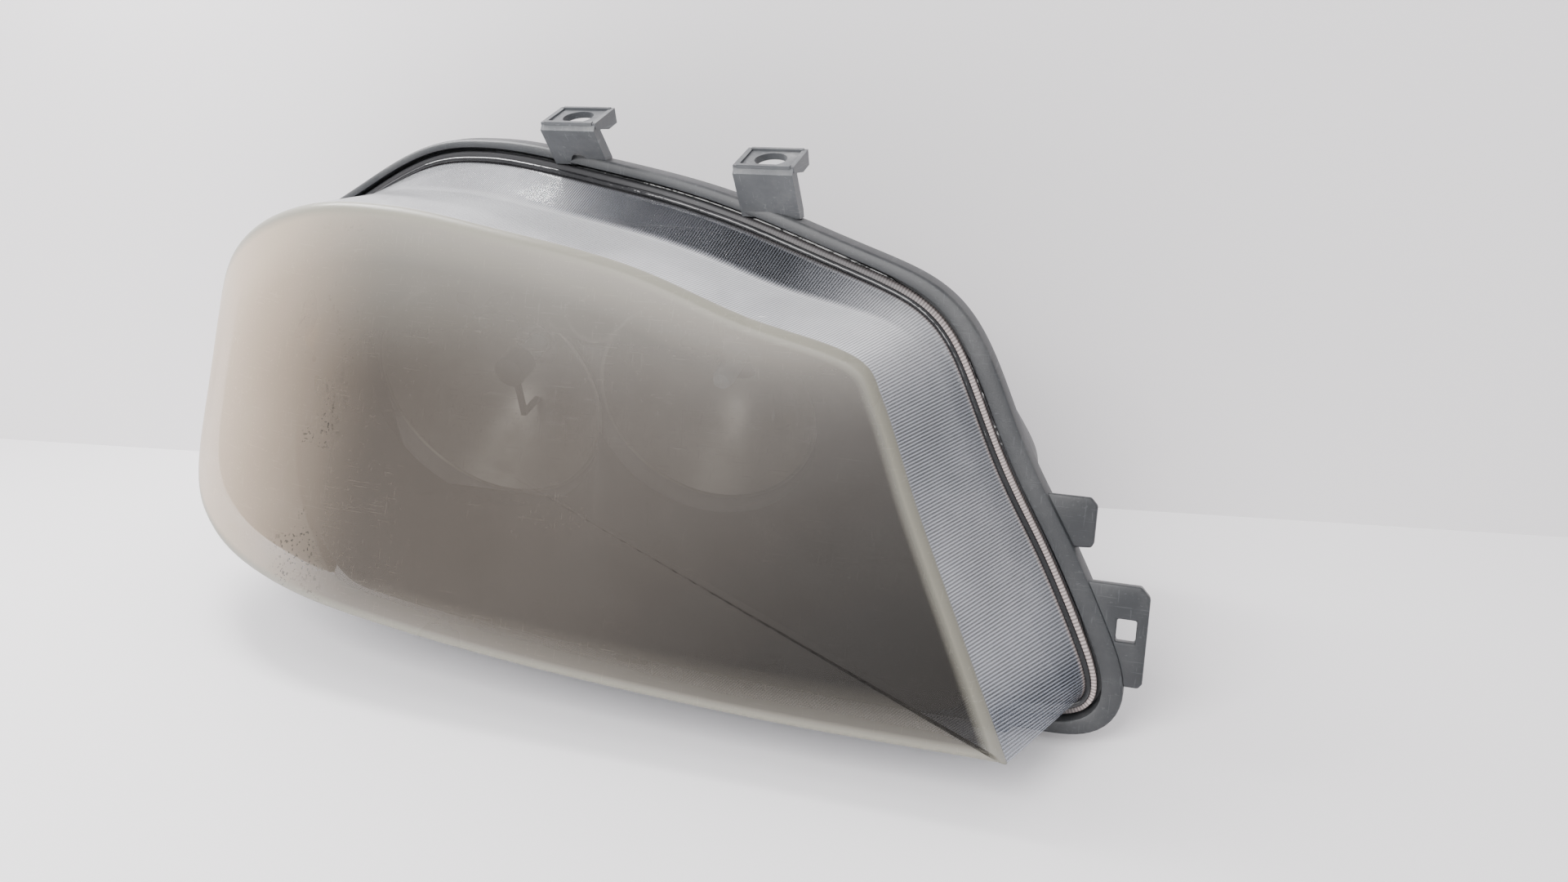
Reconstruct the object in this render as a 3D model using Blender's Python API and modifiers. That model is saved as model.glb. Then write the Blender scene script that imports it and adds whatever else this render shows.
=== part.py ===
"""Car headlamp: lens, housing, twin aiming reflectors, bulbs, covers, levelling motor and adjusters.

The lamp stands as it does on a bench. -Y is the way it shines, +X is its inboard side and +Z is up.
Sizes are in millimetres. The lamp datum is the lens's lower inboard corner. The optics frame sits on the
reflectors' pivot and leans with the beam: its +Y is the beam axis, looking rearwards.
"""
import math

import bmesh
import bpy
import numpy as np
from mathutils import Matrix, Vector

MM = 0.001
DATUM = (210.9, -136.3, 24.0)
GAP = 0.3
RING = 72

# Lens
LENS_WIDTH = 455.0
LENS_HEIGHT = 185.0
LENS_RAKE = 0.42
LENS_WRAP = 45.0
WRAP_REACH = 0.934 * LENS_WIDTH
WRAP_POWER = 8
LENS_WALL = 3.0
LENS_EDGE = 4.0
SHELF_SHARE = 0.66
RAMP_DROP = 8.0
FOOT_WIDTH = 4.5
FOOT_DEPTH = 2.0
FOOT_WALL = 2.8

# Seat that the lens stands on, and the housing around it
SEAT_DEPTH = 66.0
SEAT_RAKE = 0.33
SEAT_SWEEP = 55.0
CHANNEL_WIDTH = 6.5
CHANNEL_DEPTH = 8.0
FLANGE_WIDTH = 10.5
FLANGE_EXTRA = 5.0
HOUSING_WALL = 2.5
SEAL_WALL = 1.6
BACK_CENTRE = (-218.0, 88.0)
BACK_HALF = (206.0, 80.0)
BACK_CORNER = 5.0
BACK_INSET = 9.0
BACK_BLEND = 30.0
FEET_LEVEL = -24.0

# Optics frame
OPTICS_AT = (-212.0, 125.0, 100.0)
BEAM_TILT = 15.0
REAR_WALL = 78.0
RIM_LEVEL = -26.0
BEZEL_LEVEL = -35.0
BOWL_WALL = 2.0
LOW_RADIUS = 58.0
LOW_DEPTH = 52.0
LOW_AT = (-60.0, 0.0)
HIGH_RADIUS = 51.5
HIGH_DEPTH = 46.0
HIGH_AT = (55.0, 6.0)
BULB_HOLE = 12.0
BEZEL_OVERLAP = 4.0
BEZEL_WALL = 2.0
BEZEL_SET_BACK = 13.0
BEZEL_CLIP = 77.5
POSITION_AT = (2.0, 45.0)
POSITION_RADIUS = 13.0
TURN_AT = (-186.0, 0.0)
TURN_HOLE = 13.0
TURN_DEPTH = 22.0
TURN_GAP = 5.0

# Aiming gear
BALL_RADIUS = 5.8
BALL_CLEARANCE = 0.6
CUP_WALL = 2.8
CUP_NECK = 2.7
ROD_DROP = 62.0
ROD_RADIUS = 3.6
ROD_BALL = 4.6
SCREW_REACH = 120.0
SCREW_RADIUS = 3.0
PLATE_FRONT = -22.0
PLATE_WALL = 4.0

# Rear covers
LOW_COVER = 50.0
HIGH_COVER = 42.0
COLLAR_WALL = 4.0
COLLAR_TOP = 84.0
COVER_WALL = 2.6

# Fixing tabs, (x, top of web, set-back) of each
TAB_WIDTH = 28.0
TAB_LENGTH = 24.0
TAB_WALL = 3.0
TAB_HOLE = 7.5
TAB_RISE = 15.0
TABS = {"outer": (-238.0, 219.0, 130.0), "inner": (-136.0, 203.5, 117.0)}

# Inboard lugs: outlines (x, z) in the flange's own thickness, and the lower one's slot
LUG_UPPER = [(8, 54), (20, 55), (21, 57), (21, 72), (18, 75), (-3, 75)]
LUG_LOWER = [(38, 4), (46, 4), (46, 38), (42, 42), (18, 42)]
LUG_UPPER_WALL = 5.0
LUG_LOWER_WALL = 8.0
LUG_SET_BACK = 5.4
LUG_SLOT = (37.5, 24.0)
LUG_SLOT_SIZE = (8.0, 9.0)

# Feet, vents, socket and small fittings of the rear wall
REAR_FEET = (("inboard", -62.0), ("outboard", -352.0))
FRONT_FEET = (("inboard", -14.0), ("outboard", -186.0))
MOTOR_NECK = 12.0
VENT_HOLE = 6.0
VENTS = ((-128.0, 30.0), (112.0, -45.0))
STUD_RADIUS = 4.0
SOCKET_AT = (-115.0, -62.0)
SOCKET_SIZE = (34.0, 20.0)
CLIP_LEVEL = 7.6
PLUG_RADIUS = 6.9

# Outline of the face, in percent of the lens's width and height, from its lower inboard corner
FACE_OUTLINE = [
    (0, 0), (5, 23), (10, 46), (14, 66), (16, 73), (28, 81), (40, 90), (54, 96), (67, 100), (78, 99),
    (88, 91), (96, 77), (100, 58), (100, 39), (95, 23), (87, 15), (75, 9), (59, 5), (42, 2), (21, 0),
]
# How far the lens wall has flared, in x and z, where it meets its seat, at each of those points
WALL_FLARE = [
    (31, -8), (26, 1), (22, 0), (20, 3), (18, 7), (16, 14), (12, 15), (12, 15), (15, 14), (22, 12),
    (15, 2), (5, 2), (-1, 0), (-3, -4), (-8, -8), (-5, -14), (0, -16), (0, -14), (0, -12), (5, -10),
]

parts = bpy.data.collections.new("car_headlight")
cutters = bpy.data.collections.new("cutters")


# ---------------------------------------------------------------- curves and surfaces

def smooth_path(points, steps=24):
    """Centripetal Catmull-Rom curve through the points and back to the first, which stays a corner."""
    p = np.array(list(points) + [points[0]], float)
    p = np.vstack([2 * p[0] - p[1], p, 2 * p[-1] - p[-2]])
    rows = []
    for a, b, c, d in zip(p, p[1:], p[2:], p[3:]):
        t1 = math.sqrt(np.linalg.norm(b - a))
        t2 = t1 + math.sqrt(np.linalg.norm(c - b))
        t3 = t2 + math.sqrt(np.linalg.norm(d - c))
        t = np.linspace(t1, t2, steps, endpoint=False)[:, None]
        ab = a + (b - a) * t / t1
        bc = b + (c - b) * (t - t1) / (t2 - t1)
        cd = c + (d - c) * (t - t2) / (t3 - t2)
        abc = ab + (bc - ab) * t / t2
        bcd = bc + (cd - bc) * (t - t1) / (t3 - t1)
        rows.append(abc + (bcd - abc) * (t - t1) / (t2 - t1))
    return np.vstack(rows)


def even_shares(path, count):
    """Where to read a closed path so that its points are the same distance apart."""
    steps = np.linalg.norm(np.diff(np.vstack([path, path[:1]]), axis=0), axis=1)
    length = np.concatenate([[0], np.cumsum(steps)])
    return np.interp(np.arange(count) * length[-1] / count, length, np.arange(len(length)))


def read_path(path, shares):
    """The points of a closed path at those places."""
    closed = np.vstack([path, path[:1]])
    index = np.arange(len(closed))
    return np.stack([np.interp(shares, index, closed[:, k]) for k in range(closed.shape[1])], axis=1)


def soften(ring, passes):
    """A closed ring with its corners eased by averaging neighbours."""
    for _ in range(passes):
        ring = 0.5 * ring + 0.25 * (np.roll(ring, 1, axis=0) + np.roll(ring, -1, axis=0))
    return ring


def outward(ring):
    """The in-plane normals of a closed (x, z) ring, pointing away from its middle."""
    along = np.roll(ring, -1, axis=0) - np.roll(ring, 1, axis=0)
    normal = np.stack([along[:, 1], -along[:, 0]], axis=1)
    normal /= np.linalg.norm(normal, axis=1)[:, None]
    side = np.sign(np.sum(normal * (ring - ring.mean(axis=0)), axis=1).sum())
    return soften(normal * side, 1)


def face_y(x, z):
    """The lens's front face: it leans back with height and wraps round at the outboard end."""
    return LENS_RAKE * z + LENS_WRAP * (np.maximum(-x, 0) / WRAP_REACH) ** WRAP_POWER


def seat_y(x, z):
    """The surface that the lens's foot and the housing's flange lie in."""
    return SEAT_DEPTH + SEAT_RAKE * z + SEAT_SWEEP * (np.maximum(-x, 0) / WRAP_REACH) ** 3


def back_y(x, z, level):
    """A plane square to the beam axis, this far behind the reflectors' pivot."""
    tilt = math.radians(BEAM_TILT)
    return OPTICS_AT[1] + (level - (z - OPTICS_AT[2]) * math.sin(tilt)) / math.cos(tilt)


def optics_to_lamp(x, y, z):
    """Points of the optics frame, in the lamp frame."""
    tilt = math.radians(BEAM_TILT)
    return np.stack([
        OPTICS_AT[0] + x,
        OPTICS_AT[1] + y * math.cos(tilt) - z * math.sin(tilt),
        OPTICS_AT[2] + y * math.sin(tilt) + z * math.cos(tilt),
    ], axis=-1)


def make_rings():
    """The face outline, the seat outline and how much of the ramp's drop applies, point for point."""
    scale = np.array([-LENS_WIDTH / 100, LENS_HEIGHT / 100])
    face_points = np.array(FACE_OUTLINE, float) * scale
    seat_points = face_points + np.array(WALL_FLARE, float)
    face_path = smooth_path([tuple(p) for p in face_points])
    seat_path = smooth_path([tuple(p) for p in seat_points])
    shares = even_shares(face_path, RING)
    seat = soften(read_path(seat_path, shares), 2)
    face = read_path(face_path, shares)
    along = shares * len(FACE_OUTLINE) / len(face_path)
    ramp = np.interp(along, [4, 5.2, 8.6, 10.2], [0, 1, 1, 0])
    return face, seat, ramp


FACE_RING, SEAT_RING, RAMP_SHARE = make_rings()
FACE_NORMAL = outward(FACE_RING)
SEAT_NORMAL = outward(SEAT_RING)


def seat_ring(offset, depth):
    """A ring on the seat surface, moved outwards by offset and back by depth."""
    flat = SEAT_RING + SEAT_NORMAL * np.reshape(offset, (-1, 1))
    return np.stack([flat[:, 0], seat_y(flat[:, 0], flat[:, 1]) + depth, flat[:, 1]], axis=1)


def face_ring(inset, depth, share=1.0):
    """A ring on the face, inset from its outline, drawn towards its middle by share."""
    flat = FACE_RING - FACE_NORMAL * inset
    middle = flat.mean(axis=0)
    flat = middle + (flat - middle) * share
    return np.stack([flat[:, 0], face_y(flat[:, 0], flat[:, 1]) + depth, flat[:, 1]], axis=1)


def flange_width():
    """The flange is widest on its inboard side."""
    return FLANGE_WIDTH + FLANGE_EXTRA * np.maximum(SEAT_NORMAL[:, 0], 0)


def reach_of_outline(ring, centre, angles):
    """How far an outline is from a centre inside it, in each direction."""
    offset = ring - np.array(centre)
    at = np.arctan2(offset[:, 1], offset[:, 0])
    order = np.argsort(at)
    return np.interp(angles, at[order], np.linalg.norm(offset, axis=1)[order], period=2 * math.pi)


def reach_of_circle(centre, circle, radius, angles):
    """How far a circle's far side is from a point, in each direction, and 0 where the ray misses it."""
    across = np.array(circle) - np.array(centre)
    ray = np.stack([np.cos(angles), np.sin(angles)], axis=1)
    middle = ray @ across
    miss = across @ across - middle ** 2
    return np.where(miss < radius ** 2, middle + np.sqrt(np.maximum(radius ** 2 - miss, 0)), 0)


def near_circle(centre, circle, radius, angles):
    """How far a circle's near side is from a point outside it, and a long way where the ray misses it."""
    across = np.array(circle) - np.array(centre)
    ray = np.stack([np.cos(angles), np.sin(angles)], axis=1)
    middle = ray @ across
    miss = across @ across - middle ** 2
    hit = (miss < radius ** 2) & (middle > 0)
    return np.where(hit, middle - np.sqrt(np.maximum(radius ** 2 - miss, 0)), 1e4)


# ---------------------------------------------------------------- making objects

def plastic(name, colour, roughness, metallic=0.0, alpha=1.0):
    """A plain Principled material."""
    material = bpy.data.materials.new(name)
    material.use_nodes = True
    shader = material.node_tree.nodes["Principled BSDF"]
    shader.inputs["Base Color"].default_value = (*colour, 1.0)
    shader.inputs["Roughness"].default_value = roughness
    shader.inputs["Metallic"].default_value = metallic
    shader.inputs["Alpha"].default_value = alpha
    return material


def place(name, data, parent, material, at=(0, 0, 0), turn=(0, 0, 0), collection=None):
    """An object under its frame's empty, at a place in millimetres and turned by degrees."""
    body = bpy.data.objects.new(name, data)
    (collection or parts).objects.link(body)
    body.parent = parent
    body.location = Vector(at) * MM
    body.rotation_euler = [math.radians(angle) for angle in turn]
    if material:
        data.materials.append(material)
    if collection is cutters:
        body.hide_render = True
        body.display_type = "WIRE"
    return body


def facing_out(mesh):
    """Turns a closed mesh's faces outwards, and splits them into flat triangles."""
    shape = bmesh.new()
    shape.from_mesh(mesh)
    bmesh.ops.remove_doubles(shape, verts=shape.verts, dist=1e-6)
    bmesh.ops.triangulate(shape, faces=shape.faces[:])
    bmesh.ops.recalc_face_normals(shape, faces=shape.faces)
    if shape.calc_volume(signed=True) < 0:
        bmesh.ops.reverse_faces(shape, faces=shape.faces)
    shape.to_mesh(mesh)
    shape.free()


def shell_mesh(name, rings, closed_loop):
    """A closed skin over rings: from pole to pole, or round and back to the first ring."""
    count = len(rings[0])
    points = list(np.vstack(rings) * MM)
    faces = []
    rows = len(rings)
    for row in range(rows if closed_loop else rows - 1):
        here = row * count
        there = (row + 1) % rows * count
        for k in range(count):
            after = (k + 1) % count
            faces.append((here + k, here + after, there + after, there + k))
    if not closed_loop:
        for row in (0, rows - 1):
            pole = len(points)
            points.append(rings[row].mean(axis=0) * MM)
            start = row * count
            faces += [(pole, start + k, start + (k + 1) % count) for k in range(count)]
    mesh = bpy.data.meshes.new(name)
    mesh.from_pydata([tuple(p) for p in points], [], faces)
    facing_out(mesh)
    mesh.shade_smooth()
    mesh.set_sharp_from_angle(angle=math.radians(35))
    return mesh


def turned(name, profile, parent, material, at=(0, 0, 0), turn=(-90, 0, 0), steps=24, collection=None):
    """A turned piece with its axis along +Y. Its profile is (radius, distance back), in order down its
    outer side from the rear, and back up its inner side."""
    closed = profile[0][0] > 0 or profile[-1][0] > 0
    mesh = bpy.data.meshes.new(name)
    edges = [(k, k + 1) for k in range(len(profile) - 1)]
    if closed:
        edges.append((len(profile) - 1, 0))
    mesh.from_pydata([(r * MM, 0, h * MM) for r, h in profile], edges, [])
    body = place(name, mesh, parent, material, at, turn, collection)
    screw = body.modifiers.new("Turn", "SCREW")
    screw.axis = "Z"
    screw.steps = steps
    screw.render_steps = steps
    screw.use_merge_vertices = True
    screw.merge_threshold = 0.00001
    screw.use_smooth_shade = True
    return body


def rod(name, radius, front, rear, parent, material, at=(0, 0), steps=24, collection=None):
    """A plain round bar along the beam axis, from front to rear."""
    profile = [(0, rear), (radius, rear), (radius, front), (0, front)]
    return turned(name, profile, parent, material, (at[0], 0, at[1]), steps=steps, collection=collection)


def block(name, size, parent, material, at, turn=(0, 0, 0), bevel=0.0, collection=None):
    """A box with its edges rounded over."""
    shape = bmesh.new()
    bmesh.ops.create_cube(shape, size=1.0, matrix=Matrix.Diagonal((*[s * MM for s in size], 1.0)))
    if bevel:
        bmesh.ops.bevel(
            shape, geom=shape.edges[:], offset=bevel * MM, segments=2, profile=0.5, affect="EDGES")
    mesh = bpy.data.meshes.new(name)
    shape.to_mesh(mesh)
    shape.free()
    return place(name, mesh, parent, material, at, turn, collection)


def wire(name, points, radius, parent, material, sides=2):
    """A bent wire or lead through points, with rounded bends."""
    curve = bpy.data.curves.new(name, "CURVE")
    curve.dimensions = "3D"
    curve.bevel_depth = radius * MM
    curve.bevel_resolution = sides
    curve.use_fill_caps = True
    spline = curve.splines.new("POLY")
    spline.points.add(len(points) - 1)
    for target, point in zip(spline.points, points):
        target.co = (*[c * MM for c in point], 1.0)
    return place(name, curve, parent, material)


def boolean(body, other, operation):
    """Cuts the other shape out of a body, or joins it on."""
    step = body.modifiers.new(operation.title(), "BOOLEAN")
    step.operation = operation
    step.object = other


def add_to(body, *others):
    for other in others:
        boolean(body, other, "UNION")


def cut_from(body, *others):
    for other in others:
        boolean(body, other, "DIFFERENCE")


# ---------------------------------------------------------------- bowls

def bowl_sides(radius, depth, hole, count=7):
    """The inner and outer sides of a parabolic bowl, as (radius, distance back), from hole to rim."""
    r = np.linspace(hole, radius, count)
    h = RIM_LEVEL + depth * (1 - (r / radius) ** 2)
    slope = 2 * depth * r / radius ** 2
    size = np.hypot(slope, 1)
    inner = np.stack([r, h], axis=1)
    outer = inner + BOWL_WALL * np.stack([slope / size, 1 / size], axis=1)
    return inner, outer


def bowl_profile(radius, depth, hole):
    inner, outer = bowl_sides(radius, depth, hole)
    rim = [(outer[-1][0], RIM_LEVEL)]
    return [tuple(p) for p in outer] + rim + [tuple(p) for p in inner[::-1]]


def bowl_radius_at(radius, depth, level):
    """A bowl's outer radius where a plate at this level goes round it."""
    _, outer = bowl_sides(radius, depth, BULB_HOLE)
    return float(np.interp(-level, -outer[:, 1], outer[:, 0]))


# ---------------------------------------------------------------- lens, seal and housing

TOP_EDGE = [k for k in range(RING) if SEAT_NORMAL[k, 1] > 0.5]


def fold_ring(inset):
    """The lens wall's crease: on the top it lies below the straight line from face to seat."""
    face = face_ring(inset, LENS_EDGE)
    seat = seat_ring(-inset, 0)
    ring = face + (seat - face) * SHELF_SHARE
    ring[:, 2] -= RAMP_DROP * RAMP_SHARE
    return ring


def make_lens(lamp, material):
    wall = LENS_WALL
    outside = [face_ring(LENS_EDGE, 0, share) for share in (0.45, 0.8)]
    outside += [
        face_ring(LENS_EDGE, 0), face_ring(0, LENS_EDGE), fold_ring(0), seat_ring(0, FOOT_DEPTH),
        seat_ring(FOOT_WIDTH, FOOT_DEPTH), seat_ring(FOOT_WIDTH, FOOT_DEPTH + FOOT_WALL),
    ]
    inside = [seat_ring(-wall, FOOT_DEPTH + FOOT_WALL), fold_ring(wall), face_ring(wall + 1, LENS_EDGE + wall)]
    inside += [face_ring(LENS_EDGE + wall, wall, share) for share in (1, 0.8, 0.45)]
    return place("lens", shell_mesh("lens", outside + inside, False), lamp, material)


def make_seal(lamp, material):
    top = FOOT_DEPTH + FOOT_WALL + GAP
    bottom = top + SEAL_WALL
    rings = [
        seat_ring(-LENS_WALL, top), seat_ring(FOOT_WIDTH + 0.6, top),
        seat_ring(FOOT_WIDTH + 0.6, bottom), seat_ring(-LENS_WALL, bottom),
    ]
    return place("lens_seal", shell_mesh("lens_seal", rings, True), lamp, material)


def back_ring(level, share, wall):
    """A ring of the housing's rear wall, on a plane square to the beam.

    It is a squarish oval, kept inside the seat's outline by the power mean of their two reaches.
    """
    middle = np.array(BACK_CENTRE)
    offset = SEAT_RING - middle
    angle = np.arctan2(offset[:, 1] / BACK_HALF[1], offset[:, 0] / BACK_HALF[0])
    c, s = np.cos(angle), np.sin(angle)
    size = (np.abs(c) ** BACK_CORNER + np.abs(s) ** BACK_CORNER) ** (-1 / BACK_CORNER)
    half = (np.array(BACK_HALF) - wall) * share
    oval = np.stack([c * size * half[0], s * size * half[1]], axis=1)
    reach = np.linalg.norm(oval, axis=1)
    inset = SEAT_RING - SEAT_NORMAL * (BACK_INSET + wall)
    limit = reach_of_outline(inset, middle, np.arctan2(oval[:, 1], oval[:, 0])) * share
    kept = (reach ** -BACK_BLEND + limit ** -BACK_BLEND) ** (-1 / BACK_BLEND)
    flat = middle + oval * (kept / reach)[:, None]
    return np.stack([flat[:, 0], back_y(flat[:, 0], flat[:, 1], level), flat[:, 1]], axis=1)


def body_rings(wall, level):
    """The housing's body from its flange to its rear wall, inset by wall."""
    start = seat_ring(-LENS_WALL - GAP - wall + HOUSING_WALL, CHANNEL_DEPTH + HOUSING_WALL)
    end = back_ring(level - 6, 1.0, wall)
    middle = [start + (end - start) * share for share in (0.35, 0.7)]
    last = [back_ring(level, 0.96, wall), back_ring(level, 0.6, wall)]
    return [start, *middle, end, *last]


def make_housing(lamp, optics, material):
    width = flange_width()
    outside = body_rings(0, REAR_WALL + HOUSING_WALL)[::-1]
    flange = [
        seat_ring(width, CHANNEL_DEPTH + HOUSING_WALL), seat_ring(width, 1.0), seat_ring(width - 1.0, 0),
        seat_ring(CHANNEL_WIDTH, 0), seat_ring(CHANNEL_WIDTH, CHANNEL_DEPTH),
        seat_ring(-LENS_WALL - GAP, CHANNEL_DEPTH),
    ]
    inside = body_rings(HOUSING_WALL, REAR_WALL)
    housing = place("housing", shell_mesh("housing", outside + flange + inside[1:], False), lamp, material)
    add_fittings(housing, lamp, optics)
    make_fixings(lamp, material)
    return housing


def flat_piece(name, outline, thickness, parent, at, turn, material=None, collection=None):
    """A flat piece cut to an outline."""
    curve = bpy.data.curves.new(name, "CURVE")
    curve.dimensions = "2D"
    curve.fill_mode = "BOTH"
    curve.extrude = thickness / 2 * MM
    spline = curve.splines.new("POLY")
    spline.points.add(len(outline) - 1)
    for target, (across, up) in zip(spline.points, outline):
        target.co = (across * MM, up * MM, 0, 1)
    spline.use_cyclic_u = True
    flat = place(name + "_outline", curve, parent, None, at, turn, cutters)
    bpy.context.view_layer.update()
    mesh = bpy.data.meshes.new_from_object(flat.evaluated_get(bpy.context.evaluated_depsgraph_get()))
    bpy.data.objects.remove(flat)
    facing_out(mesh)
    return place(name, mesh, parent, material, at, turn, collection)


def tab_shape(name, x, top, front, lamp, material):
    """A top fixing tab: a web that rises from the flange and a plate that runs back from it."""
    rise = math.tan(math.radians(TAB_RISE))
    back = TAB_LENGTH * rise
    sides = [-x - TAB_WIDTH / 2, -x + TAB_WIDTH / 2]
    root = max(np.interp(sides, -SEAT_RING[TOP_EDGE, 0], SEAT_RING[TOP_EDGE, 1])) + CHANNEL_WIDTH
    foot = float(seat_y(x, root)) + 2
    outline = [
        (foot, root), (front, top), (front + TAB_LENGTH, top + back),
        (front + TAB_LENGTH, top + back - TAB_WALL), (front + 9, top - TAB_WALL), (foot + 6, root + 3),
        (foot + 6, root),
    ]
    return flat_piece(name, outline, TAB_WIDTH, lamp, (x, 0, 0), (90, 0, 90), material)


def make_lug(name, outline, thickness, lamp, collection=None, material=None):
    """An inboard fixing lug, in the thickness of the flange and leaning with it."""
    lean = math.atan(SEAT_RAKE)
    flat = [(x, z / math.cos(lean)) for x, z in outline]
    return flat_piece(name, flat, thickness, lamp, (0, float(seat_y(0, 0)) + LUG_SET_BACK, 0),
                      (90 - math.degrees(lean), 0, 0), material, collection)


def flange_clearance(lamp):
    """The flange grown by the gap, to part the tabs and the lower lug from it."""
    rear = CHANNEL_DEPTH + HOUSING_WALL + 4
    width = flange_width() + GAP
    rings = [seat_ring(-2, -6), seat_ring(width, -6), seat_ring(width, rear), seat_ring(-2, rear)]
    return place("flange_clearance", shell_mesh("flange_clearance", rings, True), lamp, None,
                 collection=cutters)


def make_fixings(lamp, material):
    """The two top tabs and the lower inboard lug, which stand on the flange's outer edge."""
    clearance = flange_clearance(lamp)
    for name in TABS:
        cut_from(make_tab(name, lamp, material), clearance)
    lug = make_lug("lower_fixing_lug", LUG_LOWER, LUG_LOWER_WALL, lamp, material=material)
    rake = (-math.degrees(math.atan(SEAT_RAKE)), 0, 0)
    slot = block("lower_lug_slot", (LUG_SLOT_SIZE[0], 40, LUG_SLOT_SIZE[1]), lamp, None,
                 (LUG_SLOT[0], float(seat_y(*LUG_SLOT)) + LUG_SET_BACK, LUG_SLOT[1]), rake, 0, cutters)
    cut_from(lug, clearance, slot)


def make_tab(name, lamp, material):
    """A tab with its hole and the raised rim round its plate."""
    x, top, front = TABS[name]
    tab = tab_shape(name + "_fixing_tab", x, top, front, lamp, material)
    rise = math.tan(math.radians(TAB_RISE))
    middle = front + TAB_LENGTH / 2 + 1
    height = top + (middle - front) * rise
    tilt = (TAB_RISE, 0, 0)
    rim = turned(name + "_tab_rim", [
        (TAB_HOLE + 2.5, 1.6), (TAB_HOLE + 2.5, -TAB_WALL), (TAB_HOLE - 1, -TAB_WALL), (TAB_HOLE - 1, 1.6),
    ], lamp, None, (x, middle, height), tilt, collection=cutters)
    hole = turned(name + "_tab_hole", [(0, 20), (TAB_HOLE, 20), (TAB_HOLE, -20), (0, -20)], lamp, None,
                  (x, middle, height), tilt, collection=cutters)
    for side in (-1, 1):
        cheek = block(f"{name}_tab_cheek_{side}", (2.0, TAB_LENGTH - 2, 6.0), lamp, None,
                      (x + side * (TAB_WIDTH / 2 - 0.6), front + TAB_LENGTH / 2,
                       top + 0.5 * TAB_LENGTH * rise - 1.2), tilt, collection=cutters)
        add_to(tab, cheek)
    add_to(tab, rim)
    cut_from(tab, hole)
    return tab


def add_fittings(housing, lamp, optics):
    """Joins the tabs, lugs, feet and collars to the housing, then opens its holes."""
    add_to(housing, make_lug("upper_lug", LUG_UPPER, LUG_UPPER_WALL, lamp, cutters))
    for side, x in REAR_FEET:
        foot = block(f"rear_foot_{side}", (9, 30, 34), lamp, None, (x, 196, FEET_LEVEL + 17), (0, 0, 0), 1.5,
                     cutters)
        add_to(housing, foot)
    for side, x in FRONT_FEET:
        foot = block(f"front_foot_{side}", (16, 8, 8), lamp, None,
                     (x, float(seat_y(x, -20)) + 6, FEET_LEVEL + 4), (0, 0, 0), 1.0, cutters)
        add_to(housing, foot)
    for name, radius, at in (("low", LOW_COVER, LOW_AT), ("high", HIGH_COVER, HIGH_AT)):
        add_to(housing, rod(name + "_collar", radius, REAR_WALL + 1, COLLAR_TOP, optics, None, at, 48, cutters))
        cut_from(housing, rod(name + "_opening", radius - COLLAR_WALL, REAR_WALL - 15, COLLAR_TOP + 10, optics,
                              None, at, 48, cutters))
    holes = [
        ("turn_opening", TURN_HOLE + 2, REAR_WALL - 30, COLLAR_TOP + 10, TURN_AT),
        ("motor_opening", MOTOR_NECK + GAP, REAR_WALL - 15, COLLAR_TOP + 10, (0, -ROD_DROP)),
        ("side_screw_hole", SCREW_RADIUS + 0.5, REAR_WALL - 15, COLLAR_TOP + 10, (SCREW_REACH, 0)),
        ("vent_hole_1", VENT_HOLE, REAR_WALL - 15, COLLAR_TOP + 10, VENTS[0]),
        ("vent_hole_2", VENT_HOLE, REAR_WALL - 15, COLLAR_TOP + 10, VENTS[1]),
        ("stud_hole", STUD_RADIUS + GAP, REAR_WALL - 15, COLLAR_TOP + 10, (0, 0)),
    ]
    for name, radius, front, rear, at in holes:
        cut_from(housing, rod(name, radius, front, rear, optics, None, at, 24, cutters))
    outer = TURN_HOLE + 4
    add_to(housing, turned("turn_collar", [
        (outer, COLLAR_TOP), (outer, REAR_WALL - 20), (TURN_HOLE, REAR_WALL - 20), (TURN_HOLE, COLLAR_TOP),
    ], optics, None, (TURN_AT[0], 0, TURN_AT[1]), collection=cutters))
    socket_hole = block("connector_hole", (SOCKET_SIZE[0] + 2 * GAP, 30, SOCKET_SIZE[1] + 2 * GAP), optics,
                        None, (SOCKET_AT[0], REAR_WALL, SOCKET_AT[1]), collection=cutters)
    cut_from(housing, socket_hole)


# ---------------------------------------------------------------- bezel and turn-signal chamber

def bezel_outer(centre, angles):
    """The bezel's outer edge: just inside the lens, cut off round the low beam at its outboard side."""
    inset = FACE_RING - FACE_NORMAL * 8.0
    lens = reach_of_outline(inset, centre, angles)
    low = optics_to_lamp(LOW_AT[0], BEZEL_LEVEL, LOW_AT[1])
    circle = reach_of_circle(centre, (low[0], low[2]), BEZEL_CLIP, angles)
    across = np.cos(angles)
    to_line = np.where(across < 0, (low[0] - centre[0]) / np.minimum(across, -1e-6), 1e4)
    height = np.abs(centre[1] + to_line * np.sin(angles) - low[2])
    clip = np.where(across < 0, np.where(height < BEZEL_CLIP, circle, to_line), 1e4)
    return np.minimum(lens, clip)


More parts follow.
